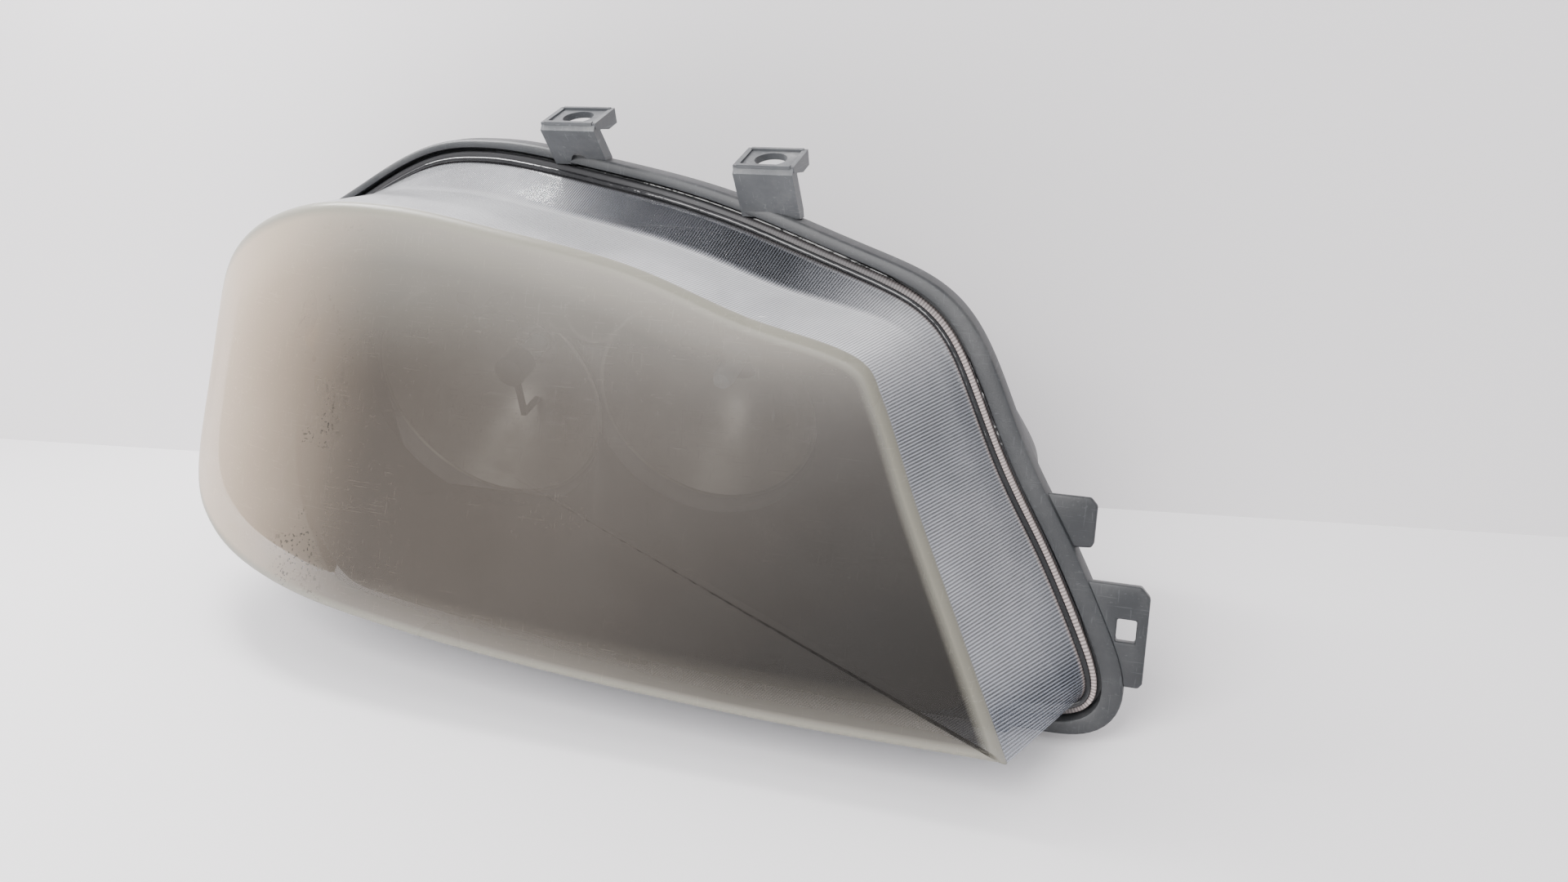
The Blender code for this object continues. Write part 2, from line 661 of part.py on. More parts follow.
def make_bezel(lamp, material):
    """A mask from the lens's edge to a figure-of-eight opening in front of the two bowls."""
    angles = np.arange(RING) * 2 * math.pi / RING
    centre = (OPTICS_AT[0] - 4, OPTICS_AT[2] - 9)
    reach = bezel_outer(centre, angles)
    outer = np.array(centre) + reach[:, None] * np.stack([np.cos(angles), np.sin(angles)], axis=1)
    middle = (-4.0, 0.0)
    opening = np.maximum.reduce([
        reach_of_circle(middle, LOW_AT, LOW_RADIUS + BEZEL_OVERLAP, angles),
        reach_of_circle(middle, HIGH_AT, HIGH_RADIUS + BEZEL_OVERLAP, angles),
        reach_of_circle(middle, POSITION_AT, POSITION_RADIUS + BEZEL_OVERLAP, angles),
    ])
    inner = optics_to_lamp(middle[0] + opening * np.cos(angles), BEZEL_LEVEL, opening * np.sin(angles))
    front = np.stack([outer[:, 0], face_y(outer[:, 0], outer[:, 1]) + BEZEL_SET_BACK, outer[:, 1]], axis=1)
    half = inner + (front - inner) * 0.45
    half[:, 1] = half[:, 1] * 0.5 + inner[:, 1] * 0.5
    radial = np.stack([np.cos(angles), 0 * angles, np.sin(angles)], axis=1)
    along = front - inner
    behind = radial * -along[:, 1:2] + np.array((0, 1, 0)) * np.sum(along * radial, axis=1)[:, None]
    behind *= BEZEL_WALL / np.linalg.norm(behind, axis=1)[:, None]
    rings = [inner, half, front, front + behind, half + behind, inner + behind]
    return place("bezel", shell_mesh("bezel", rings, True), lamp, material)


def make_turn_reflector(lamp, material):
    """The turn signal's chamber fills the outboard end, and narrows to its bulb hole."""
    angles = np.arange(RING // 2) * 4 * math.pi / RING
    hole = optics_to_lamp(TURN_AT[0] + TURN_HOLE * np.cos(angles), TURN_DEPTH, TURN_HOLE * np.sin(angles))
    centre = (OPTICS_AT[0] + TURN_AT[0], OPTICS_AT[2])
    low = optics_to_lamp(LOW_AT[0], BEZEL_LEVEL, LOW_AT[1])
    inset = FACE_RING - FACE_NORMAL * 8.0
    reach = np.minimum(reach_of_outline(inset, centre, angles),
                       near_circle(centre, (low[0], low[2]), BEZEL_CLIP + TURN_GAP, angles))
    flat = np.array(centre) + reach[:, None] * np.stack([np.cos(angles), np.sin(angles)], axis=1)
    front = np.stack([flat[:, 0], face_y(flat[:, 0], flat[:, 1]) + BEZEL_SET_BACK, flat[:, 1]], axis=1)
    deep = hole + (front - hole) * 0.55
    deep[:, 1] += 16
    wide = hole + (front - hole) * 0.85
    wide[:, 1] += 9
    out = (front - hole) / np.linalg.norm(front - hole, axis=1)[:, None] * (1, 0, 1) * BOWL_WALL
    back = np.array((0, BOWL_WALL, 0))
    rings = [hole, deep, wide, front, front + out * 0.6 + back * 0.5, wide + out + back, deep + out + back,
             hole + out + back * 1.5]
    return place("turn_signal_reflector", shell_mesh("turn_signal_reflector", rings, True), lamp, material)


# ---------------------------------------------------------------- reflectors, bulbs and carrier

def make_bowl(name, radius, depth, at, optics, material):
    return turned(name, bowl_profile(radius, depth, BULB_HOLE), optics, material, (at[0], 0, at[1]), steps=40)


def make_bulb(prefix, depth, at, optics, looks):
    """A halogen bulb: glass capsule, metal base with a flange, seat ring, spring clip, plug and lead."""
    apex = RIM_LEVEL + depth + BOWL_WALL
    x, z = at
    place_at = (x, 0, z)
    turned(prefix + "_bulb_glass", [
        (0, apex - 1), (4.6, apex - 1), (5.4, apex - 4), (5.4, apex - 24), (4.0, apex - 28), (0, apex - 29.5),
    ], optics, looks["glass"], place_at, steps=24)
    turned(prefix + "_bulb_base", [
        (0, apex + 17), (6.5, apex + 17), (6.5, apex + 6.5), (10.2, apex + 6.5), (10.2, apex + 4.2),
        (6.0, apex + 4.2), (6.0, apex - 0.6), (0, apex - 0.6),
    ], optics, looks["steel"], place_at, steps=24)
    turned(prefix + "_bulb_seat", [
        (16.0, apex + 3.8), (16.0, apex + 0.4), (7.0, apex + 0.4), (7.0, apex + 3.8),
    ], optics, looks["steel"], place_at, steps=24)
    turned(prefix + "_bulb_plug", [
        (0, apex + 29), (PLUG_RADIUS, apex + 29), (PLUG_RADIUS, apex + 17.3), (0, apex + 17.3),
    ], optics, looks["grey_plastic"], place_at, steps=24)
    level = apex + CLIP_LEVEL
    wire(prefix + "_bulb_clip", [
        (x - 13, level, z + 17), (x - 9, level, z + 17), (x - 9, level, z + 6), (x - 9.3, level, z - 8),
        (x - 6, level, z - 15), (x - 2, level, z - 18), (x + 2, level, z - 18), (x + 6, level, z - 15),
        (x + 9.3, level, z - 8), (x + 9, level, z + 6), (x + 9, level, z + 17), (x + 13, level, z + 17),
    ], 0.7, optics, looks["steel"], 1)


def make_glare_shield(optics, looks):
    """A cup in front of the low-beam bulb's tip, on a strut that stands on the bowl."""
    x, z = LOW_AT
    tip = RIM_LEVEL + LOW_DEPTH + BOWL_WALL - 29.5
    shield = turned("low_beam_glare_shield", [
        (8.0, tip + 8), (8.0, tip - 5), (0, tip - 6.5), (0, tip - 5.3), (7.0, tip - 4.2), (7.0, tip + 8),
    ], optics, looks["black_metal"], (x, 0, z), steps=24)
    reach = 27.0
    foot = RIM_LEVEL + LOW_DEPTH * (1 - ((reach + 1) / LOW_RADIUS) ** 2) - GAP
    arm = block("shield_arm", (3, 2, reach - 6.4), optics, None, (x, tip, z - (reach + 7.6) / 2), (0, 0, 0), 0,
                cutters)
    leg = block("shield_leg", (3, foot - tip + 1, 2), optics, None, (x, (foot + tip - 1) / 2, z - reach),
                (0, 0, 0), 0, cutters)
    add_to(shield, arm, leg)
    return shield


def make_carrier(optics, material):
    """The plate that both bowls hang in, with its ball socket, push-rod socket and side-adjuster nut."""
    rear = PLATE_FRONT + PLATE_WALL
    middle = (PLATE_FRONT + rear) / 2
    carrier = block("reflector_carrier", (256, PLATE_WALL, 94), optics, material, (3, middle, -17), bevel=1.0)
    low = bowl_radius_at(LOW_RADIUS, LOW_DEPTH, PLATE_FRONT) + GAP
    high = bowl_radius_at(HIGH_RADIUS, HIGH_DEPTH, PLATE_FRONT) + GAP
    drop = block("carrier_drop", (22, PLATE_WALL - 0.6, 30), optics, None, (0, middle, -58), collection=cutters)
    add_to(carrier, drop)
    for name, radius, at in (("low", low, LOW_AT), ("high", high, HIGH_AT)):
        cut_from(carrier, rod(name + "_bowl_hole", radius, middle - 10, middle + 10, optics, None, at, 48,
                              cutters))
    cut_from(carrier, block("position_gap", (30, 20, 40), optics, None, (POSITION_AT[0], middle, 47),
                            collection=cutters))
    inner = BALL_RADIUS + BALL_CLEARANCE
    add_to(carrier, cup("pivot_cup", inner, CUP_WALL, rear, 3.0, (0, 0), optics))
    inner = ROD_BALL + BALL_CLEARANCE
    add_to(carrier, cup("push_rod_cup", inner, CUP_WALL, rear, 3.0, (0, -ROD_DROP), optics))
    nut = SCREW_RADIUS + BALL_CLEARANCE
    post = block("nut_post", (4, 20, 10), optics, None, (SCREW_REACH + 8, middle + 10, 0), collection=cutters)
    ring = turned("nut_ring", [(nut + 3, 4), (nut + 3, -4), (nut, -4), (nut, 4)], optics, None,
                  (SCREW_REACH, 0, 0), steps=24, collection=cutters)
    add_to(carrier, post, ring)
    return carrier


def cup(name, inner, wall, plate, lip, at, optics):
    """A ball cup on a neck: round inside, open to the rear at its lip."""
    start = math.radians(-88)
    end = math.asin(lip / inner)
    angles = np.linspace(end, start, 8)
    inside = [(inner * math.cos(a), inner * math.sin(a)) for a in angles]
    inside[-1] = (0, -inner)
    profile = [(inner + wall, lip), (inner + wall, -inner * 0.55), (CUP_NECK, -inner - wall - 1),
               (CUP_NECK, plate - 1), (0, plate - 1)]
    return turned(name, [*inside[::-1], *profile][::-1], optics, None, (at[0], 0, at[1]), steps=24,
                  collection=cutters)


def ball_profile(radius, count=9):
    """A round ball's side, from its rear pole to its front pole."""
    angles = np.linspace(math.pi / 2, -math.pi / 2, count)
    points = [(radius * math.cos(a), radius * math.sin(a)) for a in angles]
    points[0] = (0, radius)
    points[-1] = (0, -radius)
    return points


def make_position_lamp(optics, looks):
    """A small cup between the bowls, its capless bulb and the holder behind it."""
    x, z = POSITION_AT
    at = (x, 0, z)
    turned("position_lamp_reflector", [
        (6.0, 2), (8.0, 2), (POSITION_RADIUS, -20), (POSITION_RADIUS, -24), (POSITION_RADIUS - 1.5, -24),
        (POSITION_RADIUS - 1.5, -20.5), (6.0, 0),
    ], optics, looks["mirror"], at, steps=24)
    turned("position_bulb", [(0, 1), (2.6, 1), (2.9, -2), (2.9, -10), (1.5, -13), (0, -13.6)], optics,
           looks["glass"], at, steps=20)
    turned("position_bulb_holder", [
        (0, 20), (7.5, 20), (7.5, 16), (9.0, 16), (9.0, 2.3), (5.6, 2.3), (5.6, 1.3), (0, 1.3),
    ], optics, looks["rubber"], at, steps=24)


def make_aiming_gear(optics, looks):
    """Pivot ball and stud, motor, push rod, and the two adjusters with their knobs."""
    turned("pivot_ball", ball_profile(BALL_RADIUS), optics, looks["white_plastic"], steps=24)
    turned("pivot_stud", [
        (0, REAR_WALL + 7), (6, REAR_WALL + 7), (6, REAR_WALL + HOUSING_WALL + GAP),
        (STUD_RADIUS, REAR_WALL + HOUSING_WALL + GAP), (STUD_RADIUS, BALL_RADIUS + GAP), (0, BALL_RADIUS + GAP),
    ], optics, looks["steel"], steps=24)
    bar = [p for p in ball_profile(ROD_BALL) if p[1] < ROD_BALL * 0.62]
    turned("levelling_push_rod", [(0, 100), (ROD_RADIUS, 100), (ROD_RADIUS, ROD_BALL * 0.62), *bar], optics,
           looks["white_plastic"], (0, 0, -ROD_DROP), steps=24)
    front = REAR_WALL + HOUSING_WALL + GAP
    motor = block("levelling_motor", (46, 38, 36), optics, looks["black_plastic"],
                  (0, front + 19, -ROD_DROP - 2), bevel=4.0)
    neck = rod("motor_neck", MOTOR_NECK, REAR_WALL - 8, front + 4, optics, None, (0, -ROD_DROP), 40, cutters)
    bore = rod("motor_bore", ROD_RADIUS + 0.4, REAR_WALL - 20, 108, optics, None, (0, -ROD_DROP), 32, cutters)
    plug = block("motor_socket", (20, 20, 12), optics, None, (8, front + 44, -ROD_DROP + 2), bevel=1.5,
                 collection=cutters)
    plug_hole = block("motor_socket_hole", (16, 20, 8), optics, None, (8, front + 50, -ROD_DROP + 2),
                      collection=cutters)
    add_to(motor, neck, plug)
    cut_from(motor, bore, plug_hole)
    knob_at = (-14, 0, -ROD_DROP - 4)
    make_knob("height_adjuster_knob", front + 38 + GAP, knob_at, optics, looks)
    turned("side_adjuster_screw", [
        (0, COLLAR_TOP + 8), (SCREW_RADIUS + 2, COLLAR_TOP + 8), (SCREW_RADIUS + 2, front),
        (SCREW_RADIUS, front), (SCREW_RADIUS, -10), (0, -12),
    ], optics, looks["steel"], (SCREW_REACH, 0, 0), steps=24)
    make_knob("side_adjuster_knob", COLLAR_TOP + 8 + GAP, (SCREW_REACH, 0, 0), optics, looks)


def make_knob(name, level, at, optics, looks):
    """A finger knob with grip flutes and a screwdriver slot."""
    knob = turned(name, [(0, level + 7), (6.2, level + 7), (7.2, level + 6), (7.2, level), (0, level)], optics,
                  looks["grey_plastic"], at, steps=24)
    slot = block(name + "_slot", (9, 4, 1.6), optics, None, (at[0], level + 7, at[2]), collection=cutters)
    cut_from(knob, slot)
    for turn in range(0, 360, 45):
        a = math.radians(turn)
        flute = rod(f"{name}_flute_{turn}", 1.2, level - 1, level + 9, optics, None,
                    (at[0] + 7.6 * math.cos(a), at[2] + 7.6 * math.sin(a)), 12, cutters)
        cut_from(knob, flute)
    return knob


# ---------------------------------------------------------------- rear covers and fittings

def make_cover(name, radius, at, first_lug, optics, looks):
    """A bayonet cap over a collar, with a grip bar and three lugs, and the gasket under it."""
    place_at = (at[0], 0, at[1])
    seat = COLLAR_TOP + GAP
    gasket = 1.4
    turned(name + "_gasket", [
        (radius - 0.3, seat + gasket), (radius - 0.3, seat), (radius - COLLAR_WALL + 0.3, seat),
        (radius - COLLAR_WALL + 0.3, seat + gasket),
    ], optics, looks["rubber"], place_at, steps=40)
    top = seat + gasket + GAP
    rim = radius + 0.5
    cover = turned(name, [
        (0, top + COVER_WALL), (rim + 1, top + COVER_WALL), (rim + COVER_WALL, top + COVER_WALL - 1.6),
        (rim + COVER_WALL, REAR_WALL + 3.5), (rim, REAR_WALL + 3.5), (rim, top), (0, top),
    ], optics, looks["black_plastic"], place_at, steps=40)
    bar = block(name + "_bar", (radius * 1.2, 9, 5), optics, None,
                (at[0], top + COVER_WALL + 3, at[1]), (0, 0, 0), 1.5, cutters)
    add_to(cover, bar)
    for turn in (first_lug, first_lug + 120, first_lug + 240):
        a = math.radians(turn)
        lug = block(f"{name}_lug_{turn}", (5, 6, 12), optics, None,
                    (at[0] + (rim + COVER_WALL + 1.4) * math.cos(a), top - 2,
                     at[1] + (rim + COVER_WALL + 1.4) * math.sin(a)), (0, -turn, 0), 1.0, cutters)
        add_to(cover, lug)
    return cover


def make_turn_lamp(optics, looks):
    """The amber bulb and its twist-lock holder in the outboard chamber."""
    at = (TURN_AT[0], 0, TURN_AT[1])
    turned("turn_signal_bulb", [
        (0, 33), (6.5, 33), (7.0, 29), (9.5, 22), (10.0, 15), (8.4, 8), (4.6, 4.6), (0, 3.6),
    ], optics, looks["amber"], at, steps=24)
    holder = turned("turn_signal_bulb_holder", [
        (0, COLLAR_TOP + 12), (9, COLLAR_TOP + 12), (9, COLLAR_TOP + 5), (19, COLLAR_TOP + 5),
        (19, COLLAR_TOP + GAP), (11.5, COLLAR_TOP + GAP), (11.5, 33.4), (0, 33.4),
    ], optics, looks["grey_plastic"], at, steps=40)
    bar = block("turn_holder_bar", (32, 6, 4), optics, None, (at[0], COLLAR_TOP + 7, at[2]), (0, 0, 0), 0.8,
                cutters)
    add_to(holder, bar)


def make_connector(optics, looks):
    """The main socket on the rear wall, with its pins, and the leads that run inside to the bulbs."""
    x, z = SOCKET_AT
    width, height = SOCKET_SIZE
    front = REAR_WALL - 6
    rear = REAR_WALL + 22
    socket = block("connector_socket", (width, rear - front, height), optics, looks["black_plastic"],
                   (x, (front + rear) / 2, z))
    collar = block("connector_collar", (width + 8, 3, height + 8), optics, None,
                   (x, REAR_WALL + HOUSING_WALL + GAP + 1.5, z), bevel=0.8, collection=cutters)
    mouth = block("connector_mouth", (width - 4, 30, height - 4), optics, None, (x, rear + 15 - 16, z),
                  collection=cutters)
    add_to(socket, collar)
    cut_from(socket, mouth)
    for row in range(2):
        for column in range(4):
            pin = block(f"pin_{row}_{column}", (1.6, 13, 1.0), optics, None,
                        (x - 10.5 + 7 * column, rear - 11, z - 3.5 + 7 * row), collection=cutters)
            add_to(socket, pin)


def make_leads(optics, looks):
    """Short twin leads inside the housing, up from each bulb plug to where they part from the reflector."""
    for prefix, depth, at in (("low", LOW_DEPTH, LOW_AT), ("high", HIGH_DEPTH, HIGH_AT)):
        rear = RIM_LEVEL + depth + BOWL_WALL + 29
        x, z = at
        route = [(x, rear + 0.5, z + 2), (x, rear + 3, z + 3), (x, rear + 4.5, z + 10),
                 (x - 1, rear + 3, z + 20), (x - 5, rear, z + 30)]
        wire(prefix + "_beam_lead", curve_through(route), 1.6, optics, looks["black_plastic"])


def curve_through(points, steps=5):
    """A smooth open path through points, for a lead."""
    p = np.array(points, float)
    p = np.vstack([2 * p[0] - p[1], p, 2 * p[-1] - p[-2]])
    t = np.arange(steps)[:, None] / steps
    rows = [0.5 * (2 * b + (c - a) * t + (2 * a - 5 * b + 4 * c - d) * t ** 2 + (3 * b - a - 3 * c + d) * t ** 3)
            for a, b, c, d in zip(p, p[1:], p[2:], p[3:])]
    return [tuple(q) for q in np.vstack([*rows, p[-2:-1]])]


def make_vents(optics, looks):
    for number, at in enumerate(VENTS, 1):
        rear = REAR_WALL + HOUSING_WALL + GAP
        turned(f"vent_cap_{number}", [
            (0, rear + 8), (6, rear + 8), (8.5, rear + 5), (8.5, rear), (VENT_HOLE - 0.4, rear),
            (VENT_HOLE - 0.4, REAR_WALL - 3), (VENT_HOLE - 2, REAR_WALL - 3), (VENT_HOLE - 2, rear + 5),
            (0, rear + 5.5),
        ], optics, looks["rubber"], (at[0], 0, at[1]), steps=24)


def make_looks():
    return {
        "lens": plastic("hazed_lens", (0.62, 0.58, 0.50), 0.35, alpha=0.45),
        "seal": plastic("black_sealant", (0.02, 0.02, 0.02), 0.3),
        "housing": plastic("grey_housing", (0.085, 0.09, 0.10), 0.6),
        "bezel": plastic("dark_bezel", (0.07, 0.065, 0.055), 0.45),
        "mirror": plastic("reflector_mirror", (0.82, 0.82, 0.82), 0.12, 1.0),
        "carrier": plastic("carrier_plastic", (0.30, 0.29, 0.27), 0.6),
        "glass": plastic("bulb_glass", (0.85, 0.88, 0.90), 0.05, alpha=0.35),
        "amber": plastic("amber_glass", (0.85, 0.38, 0.06), 0.08, alpha=0.6),
        "steel": plastic("zinc_steel", (0.60, 0.60, 0.60), 0.3, 1.0),
        "black_metal": plastic("black_metal", (0.05, 0.05, 0.05), 0.4, 1.0),
        "black_plastic": plastic("black_plastic", (0.03, 0.03, 0.03), 0.5),
        "grey_plastic": plastic("grey_plastic", (0.35, 0.35, 0.35), 0.5),
        "white_plastic": plastic("white_plastic", (0.80, 0.79, 0.76), 0.4),
        "rubber": plastic("black_rubber", (0.025, 0.025, 0.025), 0.8),
    }


def frame_empty(name, at, turn, parent=None):
    empty = bpy.data.objects.new(name, None)
    parts.objects.link(empty)
    empty.parent = parent
    empty.location = Vector(at) * MM
    empty.rotation_euler = [math.radians(angle) for angle in turn]
    return empty


def main():
    for old in list(bpy.data.objects):
        bpy.data.objects.remove(old, do_unlink=True)
    for collection in (parts, cutters):
        bpy.context.scene.collection.children.link(collection)
    lamp = frame_empty("lamp_frame", DATUM, (0, 0, 0))
    optics = frame_empty("optics_frame", OPTICS_AT, (BEAM_TILT, 0, 0), lamp)
    looks = make_looks()
    make_lens(lamp, looks["lens"])
    make_seal(lamp, looks["seal"])
    make_housing(lamp, optics, looks["housing"])
    make_bezel(lamp, looks["bezel"])
    make_turn_reflector(lamp, looks["mirror"])
    make_bowl("low_beam_reflector", LOW_RADIUS, LOW_DEPTH, LOW_AT, optics, looks["mirror"])
    make_bowl("high_beam_reflector", HIGH_RADIUS, HIGH_DEPTH, HIGH_AT, optics, looks["mirror"])
    make_carrier(optics, looks["carrier"])
    make_bulb("low_beam", LOW_DEPTH, LOW_AT, optics, looks)
    make_bulb("high_beam", HIGH_DEPTH, HIGH_AT, optics, looks)
    make_glare_shield(optics, looks)
    make_position_lamp(optics, looks)
    make_aiming_gear(optics, looks)
    make_cover("low_beam_cover", LOW_COVER, LOW_AT, 30, optics, looks)
    make_cover("high_beam_cover", HIGH_COVER, HIGH_AT, 90, optics, looks)
    make_turn_lamp(optics, looks)
    make_connector(optics, looks)
    make_leads(optics, looks)
    make_vents(optics, looks)


main()
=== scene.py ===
# %% [markdown]
# # A car headlamp on a bench
# A headlamp is a clear, moulded lens glued into a groove round a dark plastic housing. Behind the lens two
# round reflectors hang in one carrier, a dark mask (the bezel) hides the gaps round them, and the turn signal
# has its own bright chamber at the outboard end. This lens is old, so its face has gone hazy and yellow,
# while its ribbed side walls are still clear.
#
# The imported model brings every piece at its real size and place. The cells below give each one its finish,
# and make finer surfaces for the pieces whose curves and wear are seen up close.

import math

import bmesh
import bpy
import numpy as np
from mathutils import Matrix, Vector


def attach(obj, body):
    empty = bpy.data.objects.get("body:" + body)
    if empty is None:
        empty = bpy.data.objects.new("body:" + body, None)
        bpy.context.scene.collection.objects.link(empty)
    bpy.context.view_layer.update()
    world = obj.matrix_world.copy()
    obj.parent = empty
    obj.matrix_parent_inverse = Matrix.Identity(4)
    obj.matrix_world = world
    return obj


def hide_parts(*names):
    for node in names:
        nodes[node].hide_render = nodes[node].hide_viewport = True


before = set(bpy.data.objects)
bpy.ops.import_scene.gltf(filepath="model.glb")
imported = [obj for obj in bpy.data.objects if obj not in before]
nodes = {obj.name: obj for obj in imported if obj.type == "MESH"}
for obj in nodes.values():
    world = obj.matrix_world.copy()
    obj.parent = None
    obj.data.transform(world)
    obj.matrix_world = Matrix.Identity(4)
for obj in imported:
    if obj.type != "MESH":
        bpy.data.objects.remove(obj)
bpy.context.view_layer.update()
print("nodes:", len(nodes))

# %% [markdown]
# Every size below is in millimetres in the lamp's own frame: its origin is the lens's lower inboard corner,
# +X points inboard, -Y is the way the lamp shines and +Z is up. One function puts such points into the scene.
# The optics frame sits on the reflectors' pivot and leans with the beam, so its +Y is the beam axis.

# %% Frames of the lamp and of its optics
MM = 0.001
DATUM = np.array([210.9, -136.3, 24.0])
OPTICS_AT = np.array([-212.0, 125.0, 100.0])
TILT = math.radians(15.0)


def to_scene(points):
    """Lamp-frame millimetres to scene metres: add the datum, then scale."""
    return (np.asarray(points, float) + DATUM) * MM


def optics_to_lamp(x, y, z):
    """Turns a point about X by the beam's tilt, then moves it to the pivot."""
    x, y, z = np.broadcast_arrays(np.asarray(x, float), y, z)
    return np.stack([
        OPTICS_AT[0] + x,
        OPTICS_AT[1] + y * math.cos(TILT) - z * math.sin(TILT),
        OPTICS_AT[2] + y * math.sin(TILT) + z * math.cos(TILT),
    ], axis=-1)


print("pivot at", to_scene(OPTICS_AT).round(4))

# %% [markdown]
# ## Camera, bench and light
# The camera stands a little above the lamp and to its inboard side, close in, so the inboard wall looks
# deep and the outboard end falls away. The bench and the wall behind it are plain and pale. The light is one
# big soft box above and in front, a second one behind that glances off the top of the lens, and a pale sky.

# %% Camera
CAMERA_AT = np.array([38.13, -386.66, 260.43])
TURN = math.radians(18.0)
LOOK_DOWN = math.radians(19.0)
camera_data = bpy.data.cameras.new("camera")
camera_data.sensor_width = 36.0
camera_data.lens = 27.19
camera_data.clip_start = 0.01
camera = bpy.data.objects.new("camera", camera_data)
bpy.context.scene.collection.objects.link(camera)
camera.location = to_scene(CAMERA_AT)
camera.rotation_euler = (math.pi / 2 - LOOK_DOWN, 0, TURN)
bpy.context.scene.camera = camera
print("camera at", [round(c, 3) for c in camera.location])


# %% Meshes from grids of points
def skin_mesh(name, rows, close_rows=False, poles=(False, False), uv=None):
    """A mesh over a grid of points, rows x columns, whose columns close on themselves.

    Face (r, c) joins points (r, c), (r, c+1), (r+1, c+1) and (r+1, c). A pole fans an end row to its mean.
    The UV map holds uv[0], the distance round, and uv[1], the distance along, in metres.
    """
    rows = np.asarray(rows, float)
    count, around = rows.shape[:2]
    bands = count if close_rows else count - 1
    r, c = np.meshgrid(np.arange(bands), np.arange(around), indexing="ij")
    after = (c + 1) % around
    below = (r + 1) % count
    quads = np.stack([
        r * around + c, r * around + after, below * around + after, below * around + c,
    ], axis=-1).reshape(-1, 4)
    points = rows.reshape(-1, 3)
    loops = [quads.reshape(-1)]
    sizes = [np.full(len(quads), 4)]
    for end, wanted in zip((0, count - 1), poles):
        if wanted:
            ring = end * around + np.arange(around)
            tip = np.full(around, len(points))
            points = np.vstack([points, rows[end].mean(axis=0)])
            loops.append(np.stack([tip, ring, np.roll(ring, -1)], axis=1).reshape(-1))
            sizes.append(np.full(around, 3))
    index = np.concatenate(loops)
    size = np.concatenate(sizes)
    mesh = bpy.data.meshes.new(name)
    mesh.vertices.add(len(points))
    mesh.vertices.foreach_set("co", to_scene(points).reshape(-1))
    mesh.loops.add(len(index))
    mesh.loops.foreach_set("vertex_index", index.astype(np.int32))
    mesh.polygons.add(len(size))
    mesh.polygons.foreach_set("loop_start", np.concatenate([[0], np.cumsum(size)[:-1]]).astype(np.int32))
    mesh.update(calc_edges=True)
    if uv is not None:
        u = np.concatenate([np.asarray(uv[0], float), [2 * uv[0][-1] - uv[0][-2]]])
        u4 = np.stack([u[c], u[c + 1], u[c + 1], u[c]], axis=-1).reshape(-1)
        v = np.concatenate([uv[1], uv[1][-1:]])
        v4 = np.stack([v[r], v[r], v[r + 1], v[r + 1]], axis=-1).reshape(-1)
        flat = np.stack([u4, v4], axis=1)
        rest = len(index) - len(flat)
        flat = np.vstack([flat, np.zeros((rest, 2))])
        mesh.uv_layers.new(name="along").data.foreach_set("uv", flat.reshape(-1).astype(np.float32))
    outwards(mesh)
    return mesh


def outwards(mesh):
    """Turns the faces of a closed mesh outwards and shades it smooth but for its sharp corners."""
    shape = bmesh.new()
    shape.from_mesh(mesh)
    bmesh.ops.recalc_face_normals(shape, faces=shape.faces)
    if shape.calc_volume(signed=True) < 0:
        bmesh.ops.reverse_faces(shape, faces=shape.faces)
    shape.to_mesh(mesh)
    shape.free()
    mesh.shade_smooth()
    mesh.set_sharp_from_angle(angle=math.radians(38))


def mask(mesh, name, values):
    """Stores one number from 0 to 1 on each point, for a material to read; poles take the last value."""
    values = np.asarray(values, np.float32).reshape(-1)
    spare = len(mesh.vertices) - len(values)
    values = np.concatenate([values, np.full(spare, values[0], np.float32)])
    mesh.attributes.new(name, "FLOAT", "POINT").data.foreach_set("value", values)


def show(name, mesh, material, body, slot_name, *replaced):
    """Puts a finished mesh into the scene, on its body, in place of the CAD nodes that it stands for."""
    piece = bpy.data.objects.new(name, mesh)
    bpy.context.scene.collection.objects.link(piece)
    mesh.materials.clear()
    mesh.materials.append(material)
    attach(piece, body)
    if replaced:
        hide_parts(*replaced)
    print(f"{name}: {len(mesh.polygons)} faces")
    return piece


# %% Bench and wall
def plane(name, corners, material):
    """A flat rectangle through four corners, in lamp millimetres."""
    mesh = bpy.data.meshes.new(name)
    mesh.from_pydata([tuple(p) for p in to_scene(corners)], [], [(0, 1, 2, 3)])
    mesh.materials.append(material)
    piece = bpy.data.objects.new(name, mesh)
    bpy.context.scene.collection.objects.link(piece)
    return piece


def plain(name, colour, roughness):
    """A material of one colour for the stage, which isn't part of the lamp."""
    material = bpy.data.materials.new(name)
    material.use_nodes = True
    shader = material.node_tree.nodes["Principled BSDF"]
    shader.inputs["Base Color"].default_value = (*colour, 1.0)
    shader.inputs["Roughness"].default_value = roughness
    return material


FLOOR = -24.0
bench_white = plain("bench_white", (0.93, 0.915, 0.925), 0.6)
wall_white = plain("wall_white", (0.80, 0.78, 0.79), 0.8)
plane("bench", [(-3000, -3000, FLOOR), (3000, -3000, FLOOR), (3000, 3000, FLOOR), (-3000, 3000, FLOOR)],
      bench_white)
plane("back_wall", [(-3000, -95, FLOOR), (3000, 765, FLOOR), (3000, 765, 3000), (-3000, -95, 3000)],
      wall_white)


# %% Light
def soft_box(name, place, aim, size, watts, colour):
    """A square area light at a place, facing another."""
    data = bpy.data.lights.new(name, "AREA")
    data.size = size * MM
    data.energy = watts
    data.color = colour
    lamp = bpy.data.objects.new(name, data)
    bpy.context.scene.collection.objects.link(lamp)
    lamp.location = to_scene(place)
    away = Vector(to_scene(place)) - Vector(to_scene(aim))
    lamp.rotation_euler = away.to_track_quat("Z", "Y").to_euler()
    return lamp


